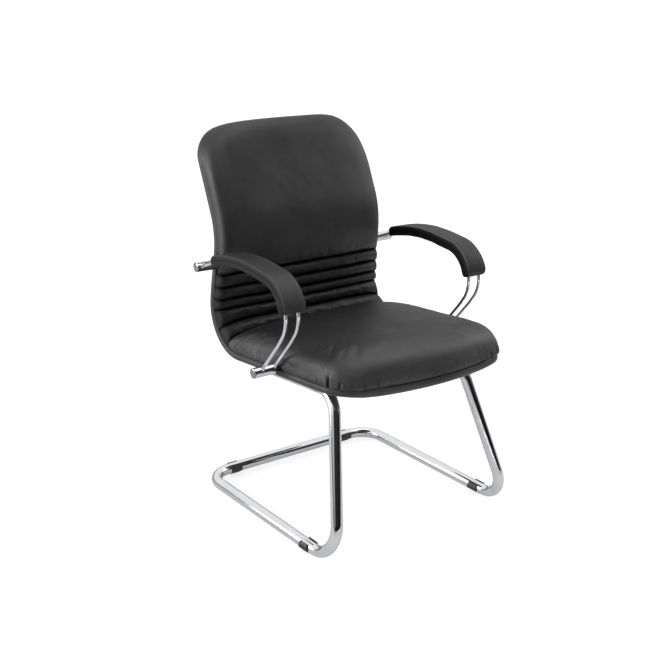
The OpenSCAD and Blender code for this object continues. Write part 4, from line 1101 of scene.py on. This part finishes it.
def rod_piece(name, node, x):
    """Rod with welds: its radius grows by w exp(-(h - R + sink) / run) near a cross tube's
    surface, where h is the distance from the cross tube's axis and R that tube's radius."""
    points, headings = rounded_route([(x, *p) for p in ARM_POINTS], ARM_RADII, ROD_STEP)
    near, count = CROSS_R + WELD_STATIONS, len(WELD_STATIONS)
    first, last = points[0], points[-1]
    points = np.concatenate([first + near * headings[0], points[1:-1],
                             (last - near * headings[-1])[::-1]])
    headings = np.concatenate([np.repeat(headings[:1], count, 0), headings[1:-1],
                               np.repeat(headings[-1:], count, 0)])
    h = np.minimum(np.linalg.norm(points - first, axis=1), np.linalg.norm(points - last, axis=1))
    radius = ROD_R + WELD_R * np.exp(-np.maximum(h - CROSS_R + WELD_SINK, 0) / WELD_RUN)
    grid = swept(points, headings, radius, np.array([1.0, 0.0, 0.0]), ROD_SIDES)
    grid = np.concatenate([np.repeat(points[:1, None], ROD_SIDES, 1), grid,
                           np.repeat(points[-1:, None], ROD_SIDES, 1)])
    return ringed_piece(name, node, grid, rod_chrome, "chrome_rod")


for word, side in (("left", -1), ("right", 1)):
    for place, sign in (("outer", 1), ("inner", -1)):
        rod_piece(f"{word}_{place}_arm_rod", f"{word}_{place}_rod",
                  side * (ARM_X + sign * ROD_GAP / 2))
print("arm rods: 4, from", arm_low.round(1).tolist(), "to", arm_high.round(1).tolist())

# %% [markdown]
# ## Arm pads
# A pad is a sleeve of leather over a clamped plastic core. Its section is nearly square, with a
# sewn ridge along both upper edges and a stitched strip along each side face. The sides are
# painted darker than the top as painted shade, the strips darker still, and the ridges lighter as
# a painted highlight. Its ends are rounded and drawn into small gathers. The section is carried
# along the rods' own line.

# %% Arm line
def line_from_corners(corners, radii):
    """Runs of a flat line with a bend at each inner corner: legs shortened by r tan(turn / 2)
    and arcs of length r times turn."""
    legs = np.diff(corners, axis=0)
    lengths = np.hypot(*legs.T)
    turns = turns_of(corners)
    cuts = np.concatenate([[0], np.array(radii) * np.tan(np.abs(turns) / 2), [0]])
    runs = []
    for i, length in enumerate(lengths):
        runs.append((length - cuts[i] - cuts[i + 1], 0.0))
        if i < len(turns):
            runs.append((radii[i] * abs(turns[i]), turns[i]))
    return runs, (*corners[0], math.atan2(legs[0][1], legs[0][0]))


ARM_RUNS, ARM_START = line_from_corners(ARM_POINTS, ARM_RADII)
ARM_LEN = sum(run[0] for run in ARM_RUNS)
PAD_RUN, PAD_REAR_GAP = 337.0, 73.0
PAD_END_S = ARM_LEN - PAD_REAR_GAP
PAD_START_S = PAD_END_S - PAD_RUN
print("arm line", round(ARM_LEN, 1), "mm, pad from", round(PAD_START_S, 1), "to",
      round(PAD_END_S, 1))

# %% Arm pads
PAD_W, PAD_REAR_W, PAD_TOP, PAD_DROP = 63.0, 61.0, 17.0, 9.5
PAD_POWER, PAD_END_RUN, PAD_END_WALL, PAD_STEP = 5.0, 20.0, 2.0, 2.2
CAVITY_W, CAVITY_T, EVEN_W, EVEN_H, PAD_POINTS = 24.5, 6.5, 27.0, 14.0, 97
FLAT, SIDE_FACE, NOISE_SHIFT = 0.9, 0.5, 50
RIDGE, RIDGE_BAND, FLARE, FLARE_S, FLARE_RUN = 1.3, 0.08, 1.6, 6.0, 14.0
STRIP, STRIP_U, STRIP_BAND = 0.7, 0.30, 0.07
PAD_GATHER, PAD_GATHER_PITCH, PAD_GATHER_RUN = 0.7, 9.0, 26.0
RIDGE_LIFT, GATHER_SIDE, GATHER_TOP, PAD_HILLS, PAD_HILL = 1.3, 0.5, 0.6, 0.5, (24, 9)
# painted shade of the top, the sides and the strips, and painted highlight of the ridges
TOP_SHADE, SIDE_SHADE, STRIP_SHADE, RIDGE_HIGHLIGHT, SHADE_BAND = 0.62, 0.26, 0.2, 0.5, 0.06
CORNER = 0.5 ** (1 / PAD_POWER)
pad_angles = even_angles(EVEN_W, EVEN_H, PAD_POWER, PAD_POINTS)
pad_angles = np.concatenate([pad_angles, pad_angles[1:-1] + math.pi])
pad_cos, pad_sin = np.cos(pad_angles), np.sin(pad_angles)
pad_c, pad_u = squared(pad_cos, PAD_POWER), squared(pad_sin, PAD_POWER)


def pad_rise(s):
    """Rise of a pad from 0 at both ends to 1, over a quarter circle."""
    return end_rise(np.minimum(s - PAD_START_S, PAD_END_S - s), PAD_END_RUN, 2)


def pad_grid(side):
    """Sleeve: a superellipse of power 5 with a ridge at its upper corners |c| = u, full between
    its ends, and a flat cavity inside it for the core."""
    c, u = pad_c, pad_u
    s = even_stops(pad_rise, PAD_START_S, PAD_END_S, PAD_STEP, EVEN_H)
    fill = pad_rise(s)[:, None]
    wide = (PAD_W + (PAD_REAR_W - PAD_W) * (s - PAD_START_S) / PAD_RUN)[:, None] / 2
    wide = wide + FLARE * bell((s - PAD_START_S - FLARE_S) / FLARE_RUN)[:, None]

    def sized(full, core):
        return core + PAD_END_WALL + (full - core - PAD_END_WALL) * fill

    x = sized(wide, CAVITY_W) * c
    d = np.where(u > 0, sized(PAD_TOP, CAVITY_T), sized(PAD_DROP, CAVITY_T)) * u
    ends = sum(bell((s - end) / PAD_GATHER_RUN)[:, None] for end in (PAD_START_S, PAD_END_S))
    wave = np.sin(2 * math.pi * s / PAD_GATHER_PITCH)[:, None] * ends * PAD_GATHER
    ridge = RIDGE * bell((u - CORNER) / RIDGE_BAND) * bell((np.abs(c) - CORNER) / RIDGE_BAND)
    strip = STRIP * bell((u - STRIP_U) / STRIP_BAND) * (np.abs(c) > SIDE_FACE)
    x = x + fill * np.sign(c) * (ridge - strip + GATHER_SIDE * (np.abs(c) > FLAT) * wave)
    d = d + fill * (RIDGE_LIFT * ridge + GATHER_TOP * wave * (u > FLAT) * (1 - c ** 8))
    spots = np.stack([s[:, None] + 0 * x, x, 0 * x + side * NOISE_SHIFT], -1)
    d = d + fill * PAD_HILLS * lattice_noise(spots, *PAD_HILL)
    m = np.maximum(np.abs(pad_cos), np.abs(pad_sin))
    inner_x, inner_d = CAVITY_W * pad_cos / m, CAVITY_T * pad_sin / m
    x = np.concatenate([x, np.broadcast_to(inner_x, x.shape)[::-1], x[:1]])
    d = np.concatenate([d, np.broadcast_to(inner_d, d.shape)[::-1], d[:1]])
    stations = np.concatenate([s, s[::-1], s[:1]])[:, None]
    y, z = beside(along(ARM_RUNS, ARM_START, stations + 0 * x), d)
    return np.stack([side * ARM_X + x, y, z], -1)


# painted shade and highlight: sides darker than the top, strips darker still, ridges lighter
pad_shade = (np.where(pad_u > FLAT, TOP_SHADE, SIDE_SHADE)
             - STRIP_SHADE * bell((pad_u - STRIP_U) / SHADE_BAND)
             + RIDGE_HIGHLIGHT * bell((pad_u - CORNER) / SHADE_BAND))
for word, side in (("left", -1), ("right", 1)):
    grid = pad_grid(side)
    pad = ringed_piece(f"{word}_leather_arm_pad", f"{word}_arm_pad", grid, pad_leather,
                       "pad_leather", crown=np.broadcast_to(pad_shade, grid.shape[:2]))
print("arm pads: 2 of", PAD_RUN, "mm")

# %% [markdown]
# ## Glides
# Four plastic clips snap round the floor rails from below and keep the chrome off the floor.
# A clip's section is an open ring with rounded lips and a flat foot, carried along the rail with
# its end edges rounded too.

# %% Glides
GLIDE_WALL, GLIDE_RUN, GLIDE_LIP_RISE, GLIDE_EDGE = 4.2, 30.0, 11.0, 0.9
LIP_EXPONENT, FACE_EXPONENT, SECTION_POINTS, EDGE_ROWS = 0.22, 0.6, 96, 6
REAR_GLIDE_X, FRONT_GLIDE_RUN = 184.0, 462.0
FRONT_GLIDE_Y = REAR_RAIL_Y - FRONT_GLIDE_RUN


def glide_grid(x, y, turn):
    """Clip: the section is a rounded strip bent round the rail; its edge is drawn in by b near
    both ends, where b follows a quarter circle."""
    middle, half_t = TUBE_R + GAP + (GLIDE_WALL - GAP) / 2, (GLIDE_WALL - GAP) / 2
    reach = math.pi / 2 + math.asin(GLIDE_LIP_RISE / middle)
    b = GLIDE_EDGE * (1 - np.sqrt(1 - np.linspace(1, 0, EDGE_ROWS) ** 2))
    inset = np.concatenate([b, b[::-1]])[:, None]
    lengths = np.concatenate([np.linspace(0, GLIDE_EDGE, EDGE_ROWS),
                              GLIDE_RUN - np.linspace(GLIDE_EDGE, 0, EDGE_ROWS)])
    t = np.arange(SECTION_POINTS) * 2 * math.pi / SECTION_POINTS
    c, u = squared(np.cos(t), 2 / LIP_EXPONENT), squared(np.sin(t), 2 / FACE_EXPONENT)
    angle = -math.pi / 2 + (reach - inset / middle) * c
    radius = middle + (half_t - inset) * u
    across, up = radius * np.cos(angle), np.maximum(radius * np.sin(angle), -RAIL_H)
    run = (lengths - GLIDE_RUN / 2)[:, None] + 0 * across
    cos, sin = math.cos(turn), math.sin(turn)
    return np.stack([x + run * cos - across * sin, y + run * sin + across * cos, RAIL_H + up], -1)


GLIDES = {"rear_left": (-REAR_GLIDE_X, REAR_RAIL_Y, 0.0),
          "rear_right": (REAR_GLIDE_X, REAR_RAIL_Y, 0.0),
          "front_left": (-BASE_W / 2, FRONT_GLIDE_Y, math.pi / 2),
          "front_right": (BASE_W / 2, FRONT_GLIDE_Y, math.pi / 2)}
for word, place in GLIDES.items():
    grid = glide_grid(*place)
    rows, columns = grid.shape[:2]
    j = np.arange(columns // 2)
    cap = np.stack([j, j + 1, (columns - j - 1) % columns, (columns - j) % columns], 1)
    make_piece(f"{word}_clip", grid,
               [grid_faces(rows, columns, around=True), cap, cap + (rows - 1) * columns],
               black_plastic, "black_plastic", f"{word}_glide")
print("clips:", sorted(GLIDES))

# %% [markdown]
# ## Floor, backdrop and light
# The photograph is a cut-out on white. The camera sees a white floor and a white world, and the
# floor still takes the chair's soft shadow. Chrome shows what stands round it, so reflections
# get a room of their own: light behind the chair, dark on the viewer's side and down towards the
# horizon, a bright ceiling, and a dim floor. That draws the dark core down the middle of each
# tube. Light itself comes from the lamps and an even, half bright world.

# %% Floor
ROOM = (-0.12, -0.99, 0.0)
FLOOR_HALF = 30


def mapped(tree, value, start, end, low, high, kind="SMOOTHSTEP"):
    """Value carried from start..end over to low..high, and held outside that range."""
    inputs = {"Value": value, "From Min": start, "From Max": end, "To Min": low, "To Max": high}
    return add(tree, "MapRange", inputs, interpolation_type=kind).outputs["Result"]


def vector_result(tree, operation, *vectors):
    """Number that a Vector Math node makes of its vectors."""
    return add(tree, "VectorMath", dict(enumerate(vectors)), operation=operation).outputs["Value"]


def emptied(owner):
    """Empty node tree of a material or world, and the outputs of its Light Path node."""
    owner.use_nodes = True
    owner.node_tree.nodes.clear()
    return owner.node_tree, add(owner.node_tree, "LightPath").outputs


corners = [(x * FLOOR_HALF, y * FLOOR_HALF, 0) for x, y in ((-1, -1), (1, -1), (1, 1), (-1, 1))]
floor_mesh = bpy.data.meshes.new("floor")
floor_mesh.from_pydata(corners, [], [(0, 1, 2, 3)])
floor = bpy.data.objects.new("floor", floor_mesh)
bpy.context.scene.collection.objects.link(floor)
paper = bpy.data.materials.new("paper_floor")
tree, ray = emptied(paper)
place = add(tree, "TexCoord").outputs["Object"]
seen = combined(tree, "MAXIMUM", combined(tree, "MAXIMUM", ray["Is Camera Ray"],
                                          ray["Is Glossy Ray"]), ray["Is Transmission Ray"])
far = mapped(tree, vector_result(tree, "LENGTH", place), 0.6, 1.9, 0.74, 1.0)
dim = mapped(tree, vector_result(tree, "DOT_PRODUCT", place, ROOM), 0.35, 1.0, 0.25, 0.0)
level = add(tree, "Mix", {"Factor": ray["Is Glossy Ray"], "A": far, "B": dim}).outputs["Result"]
glow = add(tree, "Emission", {"Color": (1, 1, 1, 1), "Strength": level})
matt = add(tree, "BsdfDiffuse", {"Color": (0.42, 0.42, 0.42, 1)})
shown = add(tree, "AddShader", {0: glow.outputs["Emission"], 1: matt.outputs["BSDF"]})
plain = add(tree, "BsdfDiffuse", {"Color": (0.8, 0.8, 0.8, 1)})
both = add(tree, "MixShader", {0: seen, 1: plain.outputs["BSDF"], 2: shown.outputs["Shader"]})
add(tree, "OutputMaterial", {"Surface": both.outputs["Shader"]})
floor_mesh.materials.append(paper)
print("floor:", floor.name)

# %% World
world = bpy.data.worlds.new("studio")
bpy.context.scene.world = world
tree, ray = emptied(world)
direction = add(tree, "TexCoord").outputs["Generated"]
height = add(tree, "SeparateXYZ", {"Vector": direction}).outputs["Z"]
room = mapped(tree, vector_result(tree, "DOT_PRODUCT", direction, ROOM), 0.28, 0.66, 0.95, 0.03)
horizon = mapped(tree, height, 0.04, 0.32, 0.1, 1.0, "LINEAR")
ceiling = mapped(tree, height, 0.55, 0.95, 0.0, 0.8, "LINEAR")
mirrored = combined(tree, "MAXIMUM", combined(tree, "MULTIPLY", room, horizon), ceiling)
reflected, lit, white = (
    add(tree, "Background", {"Color": (1, 1, 1, 1), "Strength": strength}).outputs["Background"]
    for strength in (mirrored, 0.5, 1.0))
mixed = add(tree, "MixShader", {0: ray["Is Glossy Ray"], 1: lit, 2: reflected})
seen = combined(tree, "MAXIMUM", ray["Is Camera Ray"], ray["Is Transmission Ray"])
shown = add(tree, "MixShader", {0: seen, 1: mixed.outputs["Shader"], 2: white})
add(tree, "OutputWorld", {"Surface": shown.outputs["Shader"]})
print("world:", world.name)


# %% Lamps
def area_light(name, place, target, size, power, mirrored=True):
    """Soft square lamp at a place, turned to a target; mirrored: chrome shows it."""
    data = bpy.data.lights.new(name, "AREA")
    data.shape, data.size, data.energy = "SQUARE", size, power
    lamp = bpy.data.objects.new(name, data)
    bpy.context.scene.collection.objects.link(lamp)
    back = np.array(place, float) - target
    back = back / np.linalg.norm(back)
    right = np.cross([0.0, 0.0, 1.0], back)
    right = right / (np.linalg.norm(right) or 1.0)
    lamp.matrix_world = placed((right, np.cross(back, right), back), place)
    lamp.visible_glossy = mirrored
    return lamp


area_light("top_light", (0.3, -0.3, 3.0), (0.0, 0.0, 0.5), 2.2, 25.0)
area_light("front_light", (-0.4, -2.3, 0.35), (0.0, -0.3, 0.42), 0.9, 60.0, False)
area_light("side_light", (-2.6, 1.7, 1.1), (-0.2, -0.1, 0.5), 1.6, 54.0)
area_light("right_light", (2.8, -0.2, 1.6), (0.1, -0.3, 0.45), 1.0, 11.0)
bpy.context.scene.view_settings.view_transform = "Standard"
print("lamps: 4")
